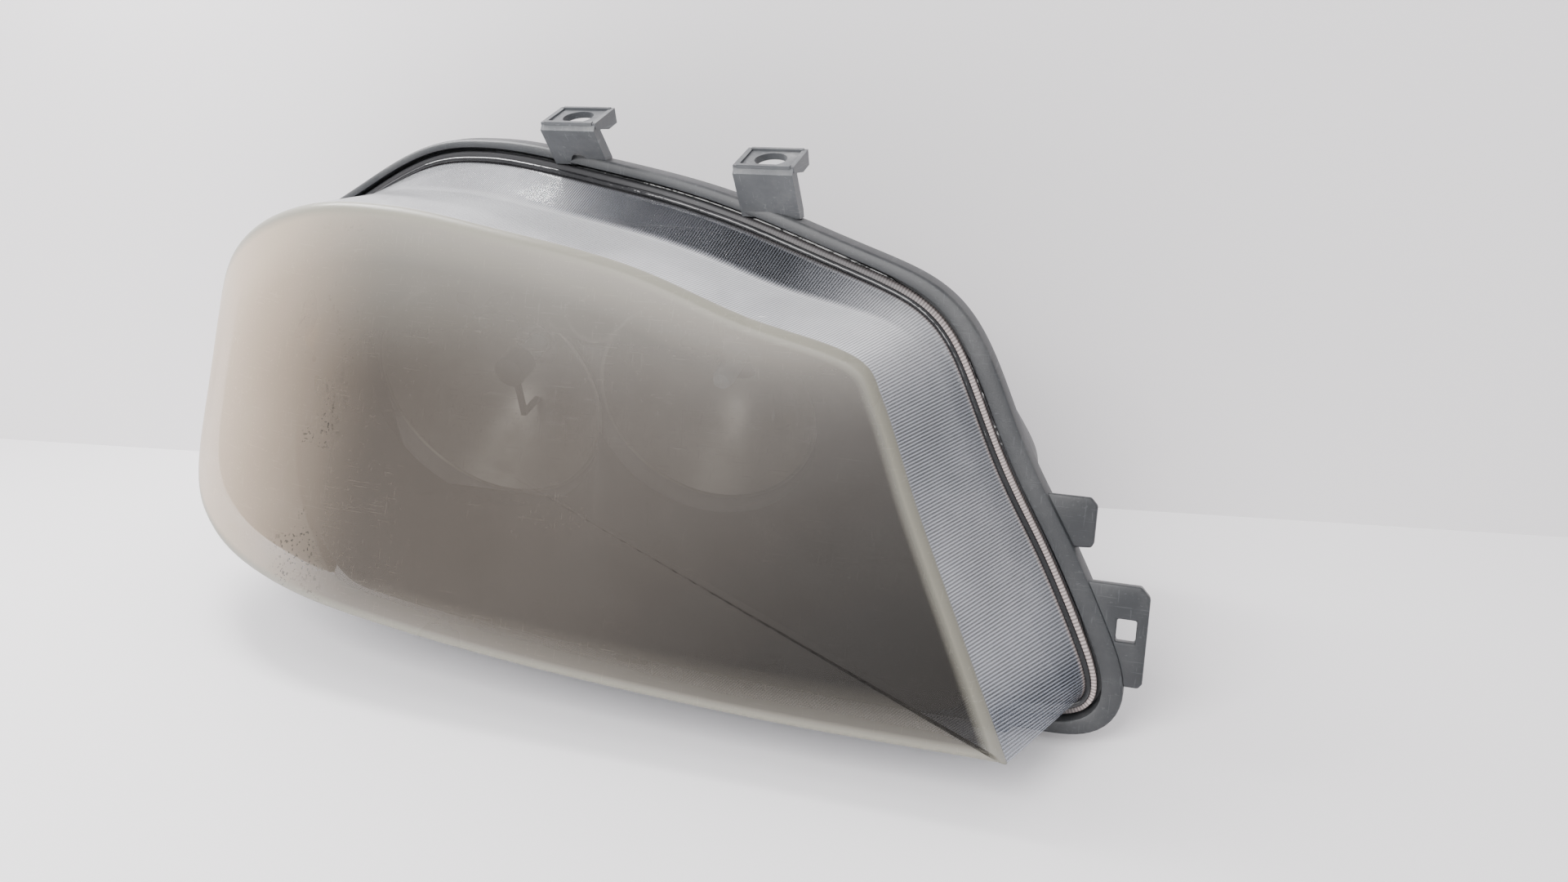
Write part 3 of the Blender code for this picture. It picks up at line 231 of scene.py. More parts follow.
MIDDLE = (-200, 80, 80)
soft_box("key_light", (-700, -1500, 1500), MIDDLE, 1300, 66, (1.0, 0.985, 0.985))
soft_box("top_light", (-560, 250, 520), (-230, 70, 180), 260, 7, (1.0, 1.0, 1.0))
sky = bpy.data.worlds.new("sky")
sky.use_nodes = True
sky.node_tree.nodes["Background"].inputs["Color"].default_value = (0.97, 0.98, 1.0, 1.0)
sky.node_tree.nodes["Background"].inputs["Strength"].default_value = 1.05
bpy.context.scene.world = sky

# %% [markdown]
# ## Finishes
# Several materials share the same kinds of wear, so each kind is a node group: moulded grain, settled dust
# and fine scratches. A group puts out only a value, and the shader that uses it stays in the material.


# %% Node helpers
def node(tree, kind, **inputs):
    """Adds a node; inputs are set by name, with _ for a space."""
    made = tree.nodes.new(kind)
    for name, value in inputs.items():
        made.inputs[name.replace("_", " ")].default_value = value
    return made


def maths(tree, operation, first, second=None):
    """A Math node on one or two values, each a socket or a number."""
    made = tree.nodes.new("ShaderNodeMath")
    made.operation = operation
    for socket, value in zip(made.inputs, (first, second)):
        if isinstance(value, (int, float)):
            socket.default_value = value
        elif value is not None:
            tree.links.new(value, socket)
    return made.outputs[0]


def spread(tree, value, low, high, to_low=0.0, to_high=1.0):
    """Maps a value from one range to another, smoothly, and clamps it."""
    made = tree.nodes.new("ShaderNodeMapRange")
    made.interpolation_type = "SMOOTHSTEP"
    tree.links.new(value, made.inputs["Value"])
    for name, number in zip(("From Min", "From Max", "To Min", "To Max"), (low, high, to_low, to_high)):
        made.inputs[name].default_value = number
    return made.outputs[0]


def blend(tree, share, first, second):
    """Mixes two colours, each a socket or a tuple, by a share that is a socket or a number."""
    made = tree.nodes.new("ShaderNodeMix")
    made.data_type = "RGBA"
    for name, value in (("Factor", share), ("A", first), ("B", second)):
        socket = next(s for s in made.inputs if s.name == name and s.enabled)
        if isinstance(value, (int, float)):
            socket.default_value = value
        elif isinstance(value, tuple):
            socket.default_value = (*value, 1.0)
        else:
            tree.links.new(value, socket)
    return next(s for s in made.outputs if s.enabled)


def attribute(tree, name):
    """One number stored on the surface's points."""
    made = tree.nodes.new("ShaderNodeAttribute")
    made.attribute_name = name
    return made.outputs["Fac"]


def noise(tree, scale, detail=3.0, stretch=None, rough=0.55):
    """Noise in the piece's own coordinates, optionally stretched along an axis."""
    place = tree.nodes.new("ShaderNodeTexCoord").outputs["Object"]
    if stretch:
        mapping = tree.nodes.new("ShaderNodeMapping")
        mapping.inputs["Scale"].default_value = stretch
        tree.links.new(place, mapping.inputs["Vector"])
        place = mapping.outputs[0]
    made = node(tree, "ShaderNodeTexNoise", Scale=scale, Detail=detail, Roughness=rough)
    tree.links.new(place, made.inputs["Vector"])
    return made.outputs[0]


def group(name, inputs, outputs):
    """A shader node group with number sockets, and its input and output nodes."""
    tree = bpy.data.node_groups.new(name, "ShaderNodeTree")
    for title, value in inputs:
        socket = tree.interface.new_socket(name=title, in_out="INPUT", socket_type="NodeSocketFloat")
        socket.default_value = value
    for title in outputs:
        tree.interface.new_socket(name=title, in_out="OUTPUT", socket_type="NodeSocketFloat")
    return tree, tree.nodes.new("NodeGroupInput"), tree.nodes.new("NodeGroupOutput")


# %% Shared effects
grain_tree, grain_in, grain_out = group("moulded_grain", [("Size", 900.0)], ["Height"])
grain_noise = noise(grain_tree, 900.0, 2.0)
grain_tree.links.new(grain_in.outputs["Size"], grain_noise.node.inputs["Scale"])
grain_tree.links.new(grain_noise, grain_out.inputs["Height"])

dust_tree, dust_in, dust_out = group("settled_dust", [("Amount", 0.5)], ["Mask"])
facing = dust_tree.nodes.new("ShaderNodeNewGeometry").outputs["Normal"]
split = dust_tree.nodes.new("ShaderNodeSeparateXYZ")
dust_tree.links.new(facing, split.inputs[0])
upward = spread(dust_tree, split.outputs["Z"], -0.1, 0.9, 0.25, 1.0)
patchy = spread(dust_tree, noise(dust_tree, 34.0, 5.0), 0.35, 0.7)
powder = spread(dust_tree, noise(dust_tree, 420.0, 2.0), 0.3, 0.75, 0.5, 1.0)
dust_mask = maths(dust_tree, "MULTIPLY", maths(dust_tree, "MULTIPLY", upward, patchy), powder)
dust_tree.links.new(
    maths(dust_tree, "MULTIPLY", dust_mask, dust_in.outputs["Amount"]), dust_out.inputs["Mask"])

scratch_tree, scratch_in, scratch_out = group("fine_scratches", [("Amount", 0.5)], ["Mask"])
lines = [noise(scratch_tree, 60.0, 2.0, stretch) for stretch in ((1, 1, 26), (22, 1, 2), (9, 1, 14))]
thin = [spread(scratch_tree, line, 0.66, 0.70) for line in lines]
scratches = maths(scratch_tree, "MAXIMUM", maths(scratch_tree, "MAXIMUM", thin[0], thin[1]), thin[2])
scratch_tree.links.new(
    maths(scratch_tree, "MULTIPLY", scratches, scratch_in.outputs["Amount"]), scratch_out.inputs["Mask"])
print("node groups:", [g.name for g in bpy.data.node_groups])


def effect(tree, name, **values):
    """Places a shared effect in a material."""
    made = tree.nodes.new("ShaderNodeGroup")
    made.node_tree = bpy.data.node_groups[name]
    for title, value in values.items():
        made.inputs[title].default_value = value
    return made.outputs[0]


def bump(tree, height, distance, strength=1.0, after=None):
    """A Bump node over a height, laid over an earlier normal if there is one."""
    made = node(tree, "ShaderNodeBump", Distance=distance, Strength=strength)
    tree.links.new(height, made.inputs["Height"])
    if after is not None:
        tree.links.new(after, made.inputs["Normal"])
    return made.outputs[0]


def start(name, **values):
    """A new material and its shader; values set the shader's own sockets."""
    material = bpy.data.materials.new(name)
    material.use_nodes = True
    tree = material.node_tree
    shader = tree.nodes["Principled BSDF"]
    for title, value in values.items():
        shader.inputs[title.replace("_", " ")].default_value = value
    return material, tree, shader


# %% [markdown]
# ### Moulded plastics
# Housing plastic is glass-filled and matt, with a faint grain, and it holds pale dust on what faces up.
# Rubber, caps and knobs are the same recipe with other values.


# %% Moulded plastic
def moulded(name, colour, roughness, dust=0.4, grain=0.00006, dust_colour=(0.33, 0.325, 0.31)):
    """Plastic or rubber: its colour wanders a little, dust dulls it and the grain dents it."""
    material, tree, shader = start(name)
    darker = tuple(c * 0.72 for c in colour)
    base = blend(tree, spread(tree, noise(tree, 22.0, 4.0), 0.3, 0.7), colour, darker)
    scuffs = effect(tree, "fine_scratches", Amount=0.35)
    lighter = tuple(min(1.0, c * 2.0 + 0.03) for c in colour)
    base = blend(tree, scuffs, base, lighter)
    settled = effect(tree, "settled_dust", Amount=dust)
    tree.links.new(blend(tree, settled, base, dust_colour), shader.inputs["Base Color"])
    rough = maths(tree, "ADD", maths(tree, "MULTIPLY", settled, 0.3), roughness)
    tree.links.new(rough, shader.inputs["Roughness"])
    tree.links.new(bump(tree, effect(tree, "moulded_grain", Size=1400.0), grain), shader.inputs["Normal"])
    return material


housing_plastic = moulded(
    "housing_plastic", (0.022, 0.024, 0.027), 0.45, dust=0.28, dust_colour=(0.17, 0.17, 0.17))
dusty_plastic = moulded(
    "dusty_plastic", (0.085, 0.09, 0.097), 0.5, dust=0.9, dust_colour=(0.30, 0.30, 0.30))
bezel_plastic = moulded(
    "bezel_plastic", (0.016, 0.015, 0.013), 0.62, dust=0.3, dust_colour=(0.05, 0.047, 0.04))
carrier_plastic = moulded("carrier_plastic", (0.10, 0.095, 0.085), 0.6, dust=0.5)
black_plastic = moulded("black_plastic", (0.022, 0.022, 0.024), 0.38, dust=0.35)
grey_plastic = moulded("grey_plastic", (0.23, 0.23, 0.225), 0.45, dust=0.3)
white_plastic = moulded("white_plastic", (0.72, 0.70, 0.64), 0.4, dust=0.2)
black_rubber = moulded("black_rubber", (0.020, 0.020, 0.020), 0.7, dust=0.5)


# %% [markdown]
# ### Metals, mirror and glass
# The bowls are plastic with a thin coat of aluminium under lacquer. With age the coat dulls unevenly, so its
# roughness and colour follow a soft noise. The steel clips and bulb bases are zinc plated.

# %% Metals
def metal(name, colour, roughness, blotch, blotch_scale=30.0, stain=(0.4, 0.36, 0.3)):
    """Metal whose colour and polish vary in soft blotches."""
    material, tree, shader = start(name, Metallic=1.0)
    cloudy = spread(tree, noise(tree, blotch_scale, 4.0), 0.35, 0.72)
    tree.links.new(blend(tree, maths(tree, "MULTIPLY", cloudy, blotch), colour, stain),
                   shader.inputs["Base Color"])
    tree.links.new(maths(tree, "ADD", maths(tree, "MULTIPLY", cloudy, 0.22), roughness),
                   shader.inputs["Roughness"])
    tree.links.new(bump(tree, noise(tree, 260.0, 2.0), 0.00003), shader.inputs["Normal"])
    return material


mirror_coat = metal("mirror_coat", (0.26, 0.245, 0.215), 0.36, 0.6, stain=(0.15, 0.135, 0.11))
zinc_steel = metal("zinc_steel", (0.56, 0.55, 0.53), 0.28, 0.5, 90.0)
dark_metal = metal("dark_metal", (0.07, 0.068, 0.065), 0.4, 0.3, 60.0, (0.02, 0.02, 0.02))

bulb_glass, bulb_tree, bulb_shader = start(
    "bulb_glass", Roughness=0.03, IOR=1.48, Alpha=0.42, Metallic=0.0)
smoke = spread(bulb_tree, noise(bulb_tree, 80.0, 2.0), 0.3, 0.8)
bulb_tree.links.new(blend(bulb_tree, smoke, (0.75, 0.80, 0.82), (0.52, 0.55, 0.56)),
                    bulb_shader.inputs["Base Color"])
amber_glass, amber_tree, amber_shader = start("amber_glass", Roughness=0.06, IOR=1.48, Alpha=0.8)
lacquer = spread(amber_tree, noise(amber_tree, 70.0, 2.0), 0.3, 0.8)
amber_tree.links.new(blend(amber_tree, lacquer, (0.86, 0.33, 0.05), (0.70, 0.22, 0.02)),
                     amber_shader.inputs["Base Color"])

sealant, sealant_tree, sealant_shader = start("sealant", Roughness=0.12)
uneven = noise(sealant_tree, 45.0, 4.0)
sealant_tree.links.new(blend(sealant_tree, uneven, (0.006, 0.006, 0.007), (0.022, 0.022, 0.024)),
                       sealant_shader.inputs["Base Color"])
sealant_tree.links.new(bump(sealant_tree, uneven, 0.0012), sealant_shader.inputs["Normal"])
print("materials:", len(bpy.data.materials))

# %% [markdown]
# ## Outlines
# The lens's face and the groove that it stands in are two outlines, each a list of corners joined by one
# smooth curve. They are given in percent of the lens's width and height, from its lower inboard corner.

# %% Outlines of the face and of the seat
LENS_WIDTH, LENS_HEIGHT = 455.0, 185.0
LENS_RAKE, LENS_WRAP, WRAP_POWER = 0.42, 45.0, 8
WRAP_REACH = 0.934 * LENS_WIDTH
SEAT_DEPTH, SEAT_RAKE, SEAT_SWEEP, SWEEP_POWER = 66.0, 0.33, 55.0, 3
AROUND = 576
FACE_OUTLINE = [
    (0, 0), (5, 23), (10, 46), (14, 66), (16, 73), (28, 81), (40, 90), (54, 96), (67, 100), (78, 99),
    (88, 91), (96, 77), (100, 58), (100, 39), (95, 23), (87, 15), (75, 9), (59, 5), (42, 2), (21, 0),
]
WALL_FLARE = [
    (31, -8), (26, 1), (22, 0), (20, 3), (18, 7), (16, 14), (12, 15), (12, 15), (15, 14), (22, 12),
    (15, 2), (5, 2), (-1, 0), (-3, -4), (-8, -8), (-5, -14), (0, -16), (0, -14), (0, -12), (5, -10),
]


def smooth_path(points, steps=40):
    """Centripetal Catmull-Rom: each span's knots are the square roots of the distances between points."""
    p = np.array(list(points) + [points[0]], float)
    p = np.vstack([2 * p[0] - p[1], p, 2 * p[-1] - p[-2]])
    rows = []
    for a, b, c, d in zip(p, p[1:], p[2:], p[3:]):
        t1 = math.sqrt(np.linalg.norm(b - a))
        t2 = t1 + math.sqrt(np.linalg.norm(c - b))
        t3 = t2 + math.sqrt(np.linalg.norm(d - c))
        t = np.linspace(t1, t2, steps, endpoint=False)[:, None]
        ab, bc = a + (b - a) * t / t1, b + (c - b) * (t - t1) / (t2 - t1)
        cd = c + (d - c) * (t - t2) / (t3 - t2)
        abc, bcd = ab + (bc - ab) * t / t2, bc + (cd - bc) * (t - t1) / (t3 - t1)
        rows.append(abc + (bcd - abc) * (t - t1) / (t2 - t1))
    return np.vstack(rows)


def read_path(path, shares):
    """The points of a closed path at places counted in its own steps."""
    closed = np.vstack([path, path[:1]])
    index = np.arange(len(closed))
    return np.stack([np.interp(shares, index, closed[:, k]) for k in range(2)], axis=1)


def soften(ring, width):
    """Averages a closed ring with its neighbours, by a Gaussian that many columns wide."""
    reach = int(width * 4)
    weights = np.exp(-0.5 * (np.arange(-reach, reach + 1) / width) ** 2)
    weights /= weights.sum()
    return sum(w * np.roll(ring, k, axis=0) for k, w in zip(range(-reach, reach + 1), weights))


def outward(ring, width):
    """In-plane normals of a closed ring, softened round its corners."""
    along = np.roll(ring, -1, axis=0) - np.roll(ring, 1, axis=0)
    normal = np.stack([along[:, 1], -along[:, 0]], axis=1)
    normal /= np.linalg.norm(normal, axis=1)[:, None]
    side = np.sign(np.sum(normal * (ring - ring.mean(axis=0)), axis=1).sum())
    normal = soften(normal * side, width)
    return normal / np.linalg.norm(normal, axis=1)[:, None]


corners = np.array(FACE_OUTLINE, float) * (-LENS_WIDTH / 100, LENS_HEIGHT / 100)
face_path = smooth_path([tuple(p) for p in corners])
seat_path = smooth_path([tuple(p) for p in corners + np.array(WALL_FLARE, float)])
steps = np.linalg.norm(np.diff(np.vstack([face_path, face_path[:1]]), axis=0), axis=1)
length = np.concatenate([[0], np.cumsum(steps)])
shares = np.interp(np.arange(AROUND) * length[-1] / AROUND, length, np.arange(len(length)))
along_face = np.arange(AROUND) * length[-1] / AROUND * MM
face_ring = read_path(face_path, shares)
seat_ring = soften(read_path(seat_path, shares), 6.0)
ramp_share = np.interp(shares * len(FACE_OUTLINE) / len(face_path), [4, 5.2, 8.6, 10.2], [0, 1, 1, 0])
ramp_share = soften(ramp_share[:, None], 5.0)[:, 0]
face_normal = outward(face_ring, 2.5)
seat_normal = outward(seat_ring, 5.0)
print("lens perimeter", round(length[-1]), "mm")


# %% Surfaces that the outlines lie on
def face_y(x, z):
    """The face leans back with height and wraps round steeply at the outboard end."""
    return LENS_RAKE * z + LENS_WRAP * (np.maximum(-x, 0) / WRAP_REACH) ** WRAP_POWER


def seat_y(x, z):
    """The groove's surface leans back less, and sweeps back along the car's side."""
    return SEAT_DEPTH + SEAT_RAKE * z + SEAT_SWEEP * (np.maximum(-x, 0) / WRAP_REACH) ** SWEEP_POWER


def on_face(inset, depth, share=1.0):
    """A ring on the face, inset from its outline, set back by depth and drawn to its middle by share."""
    flat = face_ring - face_normal * inset
    flat = flat.mean(axis=0) + (flat - flat.mean(axis=0)) * share
    return np.stack([flat[:, 0], face_y(flat[:, 0], flat[:, 1]) + depth, flat[:, 1]], axis=1)


def on_seat(offset, depth):
    """A ring on the seat, moved outwards by offset and back by depth."""
    flat = seat_ring + seat_normal * np.reshape(offset, (-1, 1))
    return np.stack([flat[:, 0], seat_y(flat[:, 0], flat[:, 1]) + depth, flat[:, 1]], axis=1)


EDGE, WALL, FOOT_DEPTH = 4.0, 2.6, 2.0
SHELF_SHARE, RAMP_DROP = 0.66, 8.0


def crease(inset):
    """The fold between shelf and ramp, two thirds of the way from face to seat, lowered along the top."""
    ring = on_face(inset, EDGE)
    ring = ring + (on_seat(-inset, FOOT_DEPTH) - ring) * SHELF_SHARE
    ring[:, 2] -= RAMP_DROP * ramp_share
    return ring


# %% [markdown]
# ## The lens
# One clear moulding: a face, a rounded edge, a ribbed wall that steps up along the top, and a foot that
# sits in the groove. It is one closed skin of rings, from the middle of the face out over the edge, down
# the wall, round the foot and back inside. Masks stored on its points tell the material where the face, the
# worn edge, the wall and the inside are, and a UV map carries the distance round it, which the ribs follow.

# %% Lens skin
bend = np.linspace(0, math.pi / 2, 7)
outside = [on_face(EDGE, 0, share) for share in np.linspace(0.04, 0.98, 26)]
outside += [on_face(EDGE * (1 - math.sin(a)), EDGE * (1 - math.cos(a))) for a in bend]
last_edge = len(outside)
top, fold, base = on_face(0, EDGE), crease(0), on_seat(0, FOOT_DEPTH)
shelf = [top + (fold - top) * t for t in np.linspace(0.08, 0.9, 11)]
turn_in, turn_out = top + (fold - top) * 0.93, fold + (base - fold) * 0.14
rounding = [(1 - t) ** 2 * turn_in + 2 * t * (1 - t) * fold + t * t * turn_out
            for t in (0, 0.25, 0.5, 0.75, 1)]
ramp = [fold + (base - fold) * t for t in np.linspace(0.25, 0.94, 8)]
outside += shelf + rounding + ramp
last_wall = len(outside)
foot_steps = ((0.3, 2.0), (1.2, 1.6), (4.1, 1.6), (4.5, 2.0), (4.5, 4.8))
outside += [on_seat(offset, depth) for offset, depth in foot_steps]
last_foot = len(outside)
inside = [on_seat(-WALL, 4.8), crease(WALL), on_face(WALL + 1, EDGE + WALL)]
inside += [on_face(EDGE + WALL, WALL, share) for share in np.linspace(1.0, 0.04, 12)]
lens_rows = np.array(outside + inside)
row = np.arange(len(lens_rows))[:, None] * np.ones(AROUND)
distance = np.linalg.norm(np.diff(lens_rows, axis=0), axis=2).mean(axis=1)
distance = np.concatenate([[0], np.cumsum(distance)]) * MM
lens_mesh = skin_mesh("clear_lens", lens_rows, poles=(True, True), uv=(along_face, distance))
mask(lens_mesh, "wall", (row >= last_edge - 1) & (row < last_wall))
row_number = np.arange(len(lens_rows))[:, None]


def rows_between(start_row, full_row, last_full_row, end_row):
    """A column of numbers over the rows: 0, up to 1, level, and back to 0 at the given rows."""
    return np.interp(row_number, [start_row, full_row, last_full_row, end_row], [0, 1, 1, 0])


facing_in = np.clip(seat_normal[:, 0] * 1.6 - 0.4, 0, 1)
facing_up = np.clip(seat_normal[:, 1] * 1.8 - 0.5, 0, 1)
mask(lens_mesh, "edge", rows_between(25, 26.5, last_edge - 1, last_edge) * np.ones(AROUND))
mask(lens_mesh, "rim", rows_between(20, 26, last_edge, last_edge + 1) * (1 - facing_in))
mask(lens_mesh, "ramp", rows_between(last_wall - 12, last_wall - 9, last_wall, last_wall + 1) * ramp_share)
mask(lens_mesh, "inboard", facing_in * np.ones_like(row_number))
# The "upper" mask marks where the wall faces up; the material paints the top light's glare there.
mask(lens_mesh, "upper", facing_up * np.ones_like(row_number))
mask(lens_mesh, "foot", (row >= last_wall - 1) & (row < last_foot))
mask(lens_mesh, "inner", row >= last_foot)

# %% [markdown]
# ### Hazed plastic
# Sun and grit roughen the outside of a headlamp lens, so light scatters in its skin: from the front it is
# a thin milky layer over what lies behind. The material stays one shader, partly see-through. Its alpha is
# the thickness of the milk, which grows towards the outboard end, the top and the rounded edge.
# On the wall the alpha is moderate, and fine ribs bend the light.

# %% Lens material
RIB_PITCH = 0.00125
haze, tree, shader = start("hazed_lens", IOR=1.49, Specular_IOR_Level=0.22, Coat_Roughness=0.09, Coat_IOR=1.5)
wall_mask, edge_mask = attribute(tree, "wall"), attribute(tree, "edge")
foot_mask, inner_mask = attribute(tree, "foot"), attribute(tree, "inner")
place = tree.nodes.new("ShaderNodeSeparateXYZ")
tree.links.new(tree.nodes.new("ShaderNodeTexCoord").outputs["Object"], place.inputs[0])
outboard = spread(tree, place.outputs["X"], -0.08, -0.21)
painted_corner_shade = spread(tree, maths(tree, "SUBTRACT", place.outputs["X"], place.outputs["Z"]), -0.12, 0.12)
high = spread(tree, place.outputs["Z"], 0.13, 0.205)
rim_mask, ramp_mask = attribute(tree, "rim"), attribute(tree, "ramp")
clouds = spread(tree, noise(tree, 9.0, 4.0), 0.3, 0.75)
milk = maths(tree, "ADD", 0.66, maths(tree, "MULTIPLY", outboard, 0.18))
milk = maths(tree, "ADD", milk, maths(tree, "MULTIPLY", high, 0.14))
milk = maths(tree, "ADD", milk, maths(tree, "MULTIPLY", clouds, 0.06))
milk = maths(tree, "ADD", milk, maths(tree, "MULTIPLY", rim_mask, 0.12))
scratch = effect(tree, "fine_scratches", Amount=0.10)
milk = maths(tree, "ADD", milk, scratch)
uv_map = tree.nodes.new("ShaderNodeUVMap")
uv_map.uv_map = "along"
around = tree.nodes.new("ShaderNodeSeparateXYZ")
tree.links.new(uv_map.outputs[0], around.inputs[0])
turns = maths(tree, "MULTIPLY", around.outputs["X"], 2 * math.pi / RIB_PITCH)
ribs_all = maths(tree, "ADD", maths(tree, "MULTIPLY", maths(tree, "SINE", turns), 0.5), 0.5)
ribs = maths(tree, "MULTIPLY", ribs_all, wall_mask)
patches = spread(tree, noise(tree, 14.0, 3.0), 0.35, 0.7)
wall_alpha = maths(tree, "ADD", 0.14, maths(tree, "MULTIPLY", ribs, 0.28))
wall_alpha = maths(tree, "ADD", wall_alpha, maths(tree, "MULTIPLY", patches, 0.16))
ramp_mask = maths(tree, "MULTIPLY", ramp_mask, spread(tree, place.outputs["X"], -0.06, 0.04, 0.25, 1.0))
# Painted highlight: on the upward-facing wall, off the ramp, the colour is whitened and made more opaque,
# standing in for the glare of the top light.
painted_top_glare = maths(tree, "MULTIPLY", attribute(tree, "upper"), maths(tree, "SUBTRACT", 1.0, ramp_mask))
wall_alpha = maths(tree, "SUBTRACT", wall_alpha, maths(tree, "MULTIPLY", ramp_mask, 0.14))
wall_alpha = maths(tree, "ADD", wall_alpha, maths(tree, "MULTIPLY", painted_top_glare, 0.28))


def choose(share, first, second):
    """first where share is 0, second where it is 1."""
    keep = maths(tree, "MULTIPLY", maths(tree, "SUBTRACT", 1.0, share), first)
    return maths(tree, "ADD", keep, maths(tree, "MULTIPLY", share, second))


alpha = choose(wall_mask, milk, wall_alpha)
alpha = maths(tree, "MAXIMUM", alpha, maths(tree, "MULTIPLY", edge_mask, 0.5))
alpha = choose(foot_mask, alpha, 0.9)
alpha = choose(inner_mask, alpha, 0.04)
tree.links.new(alpha, shader.inputs["Alpha"])
# Painted shade: the face colour darkens towards its lower inboard corner. The steps after it add the haze's
# tints, dirt specks and more painted light.
aged_and_painted_light = blend(tree, painted_corner_shade, (0.085, 0.073, 0.062), (0.018, 0.016, 0.014))
aged_and_painted_light = blend(tree, high, aged_and_painted_light, (0.20, 0.188, 0.165))
# At the outboard end the face turns warm beige: partly the haze's yellowing, partly a painted reflection of the
# turn chamber behind it.
aged_and_painted_light = blend(tree, outboard, aged_and_painted_light, (0.46, 0.365, 0.275))
aged_and_painted_light = blend(tree, maths(tree, "MULTIPLY", rim_mask, 0.22), aged_and_painted_light, (0.46, 0.42, 0.35))
aged_and_painted_light = blend(tree, edge_mask, aged_and_painted_light, (0.24, 0.23, 0.19))
from_arc = maths(tree, "ABSOLUTE", maths(tree, "SUBTRACT", place.outputs["X"], -0.120))
arc = spread(tree, from_arc, 0.022, 0.004)
specks = spread(tree, noise(tree, 620.0, 1.0), 0.60, 0.64)
streaky = spread(tree, noise(tree, 26.0, 3.0), 0.5, 0.62)
specks = maths(tree, "MULTIPLY", maths(tree, "MULTIPLY", specks, streaky), arc)
aged_and_painted_light = blend(tree, maths(tree, "MULTIPLY", specks, 0.85), aged_and_painted_light, (0.02, 0.02, 0.018))
# Painted highlight and shade: the wall colour turns from dark to light across each rib.
wall_colour = blend(tree, ribs, (0.07, 0.08, 0.10), (0.42, 0.45, 0.53))
# Painted highlight: the glare of the top light on the upward-facing wall.
wall_colour = blend(tree, maths(tree, "MULTIPLY", painted_top_glare, 0.8), wall_colour, (0.93, 0.93, 0.95))
# Painted shade: the ramp band of the wall is darkened, more so towards the inboard end.
wall_colour = blend(tree, maths(tree, "MULTIPLY", ramp_mask, 0.7), wall_colour, (0.07, 0.072, 0.08))
colour = blend(tree, wall_mask, aged_and_painted_light, wall_colour)
teeth = blend(tree, spread(tree, ribs_all, 0.2, 0.8), (0.20, 0.17, 0.165), (0.50, 0.43, 0.415))
foot_colour = blend(tree, attribute(tree, "inboard"), (0.035, 0.035, 0.037), teeth)
colour = blend(tree, foot_mask, colour, foot_colour)
tree.links.new(colour, shader.inputs["Base Color"])
rough = choose(wall_mask, maths(tree, "ADD", 0.26, maths(tree, "MULTIPLY", clouds, 0.1)), 0.13)
tree.links.new(rough, shader.inputs["Roughness"])
tree.links.new(maths(tree, "MULTIPLY", wall_mask, 0.6), shader.inputs["Coat Weight"])
rib_bump = bump(tree, ribs, 0.00035)
tree.links.new(bump(tree, noise(tree, 16.0, 2.0), 0.0006, 1.0, rib_bump), shader.inputs["Normal"])
show("clear_lens", lens_mesh, haze, "lamp", "hazed_lens", "lens")

# %% [markdown]
# ### Sealant
# The foot is bedded in black butyl sealant that was squeezed up round it. It shows as a glossy, slightly
# uneven bead against the wall, and as a flat strip under the foot.

# %% Bead of sealant
circle = np.linspace(0, 2 * math.pi, 12, endpoint=False)
wander = 0.25 * np.sin(np.arange(AROUND) * 2 * math.pi * 23 / AROUND)
bead = [on_seat(1.0 + 1.3 * math.cos(a) + 0.3 * wander, 1.3 + (1.1 + 0.2 * wander) * math.sin(a))
        for a in circle]
bead_mesh = skin_mesh("sealant_bead", np.array(bead), close_rows=True)
show("sealant_bead", bead_mesh, sealant, "lamp", "black_sealant")
nodes["lens_seal"].material_slots[0].material = sealant

# %% [markdown]
# ## The housing
# A deep black-grey tub whose rim is a flange with a groove. It is one closed skin: down the outside from
# the rear wall, round the flange, through the groove and back along the inside.

# %% Reach of an outline or a circle from a centre
def reach_of_outline(ring, centre, angles):
    """The distance to an outline in each direction, read off its own points' directions."""
    offset = ring - np.array(centre)
    at = np.arctan2(offset[:, 1], offset[:, 0])
    order = np.argsort(at)
    return np.interp(angles, at[order], np.linalg.norm(offset, axis=1)[order], period=2 * math.pi)


def reach_of_circle(centre, circle, radius, angles, far=True):
    """Where a ray meets a circle: the root of a quadratic, far side or near side."""
    across = np.array(circle) - np.array(centre)
    middle = np.cos(angles) * across[0] + np.sin(angles) * across[1]
    miss = across @ across - middle ** 2
    half = np.sqrt(np.maximum(radius ** 2 - miss, 0))
    if far:
        return np.where(miss < radius ** 2, middle + half, 0)
    return np.where((miss < radius ** 2) & (middle > 0), middle - half, 1e4)


# %% Housing skin
BACK_CENTRE, BACK_HALF = np.array([-218.0, 88.0]), np.array([206.0, 80.0])
SHELL, BACK_INSET = 2.5, 9.0


def back_y(z, level):
    """The height-dependent y of a plane square to the beam, this far behind the pivot."""
    return OPTICS_AT[1] + (level - (z - OPTICS_AT[2]) * math.sin(TILT)) / math.cos(TILT)


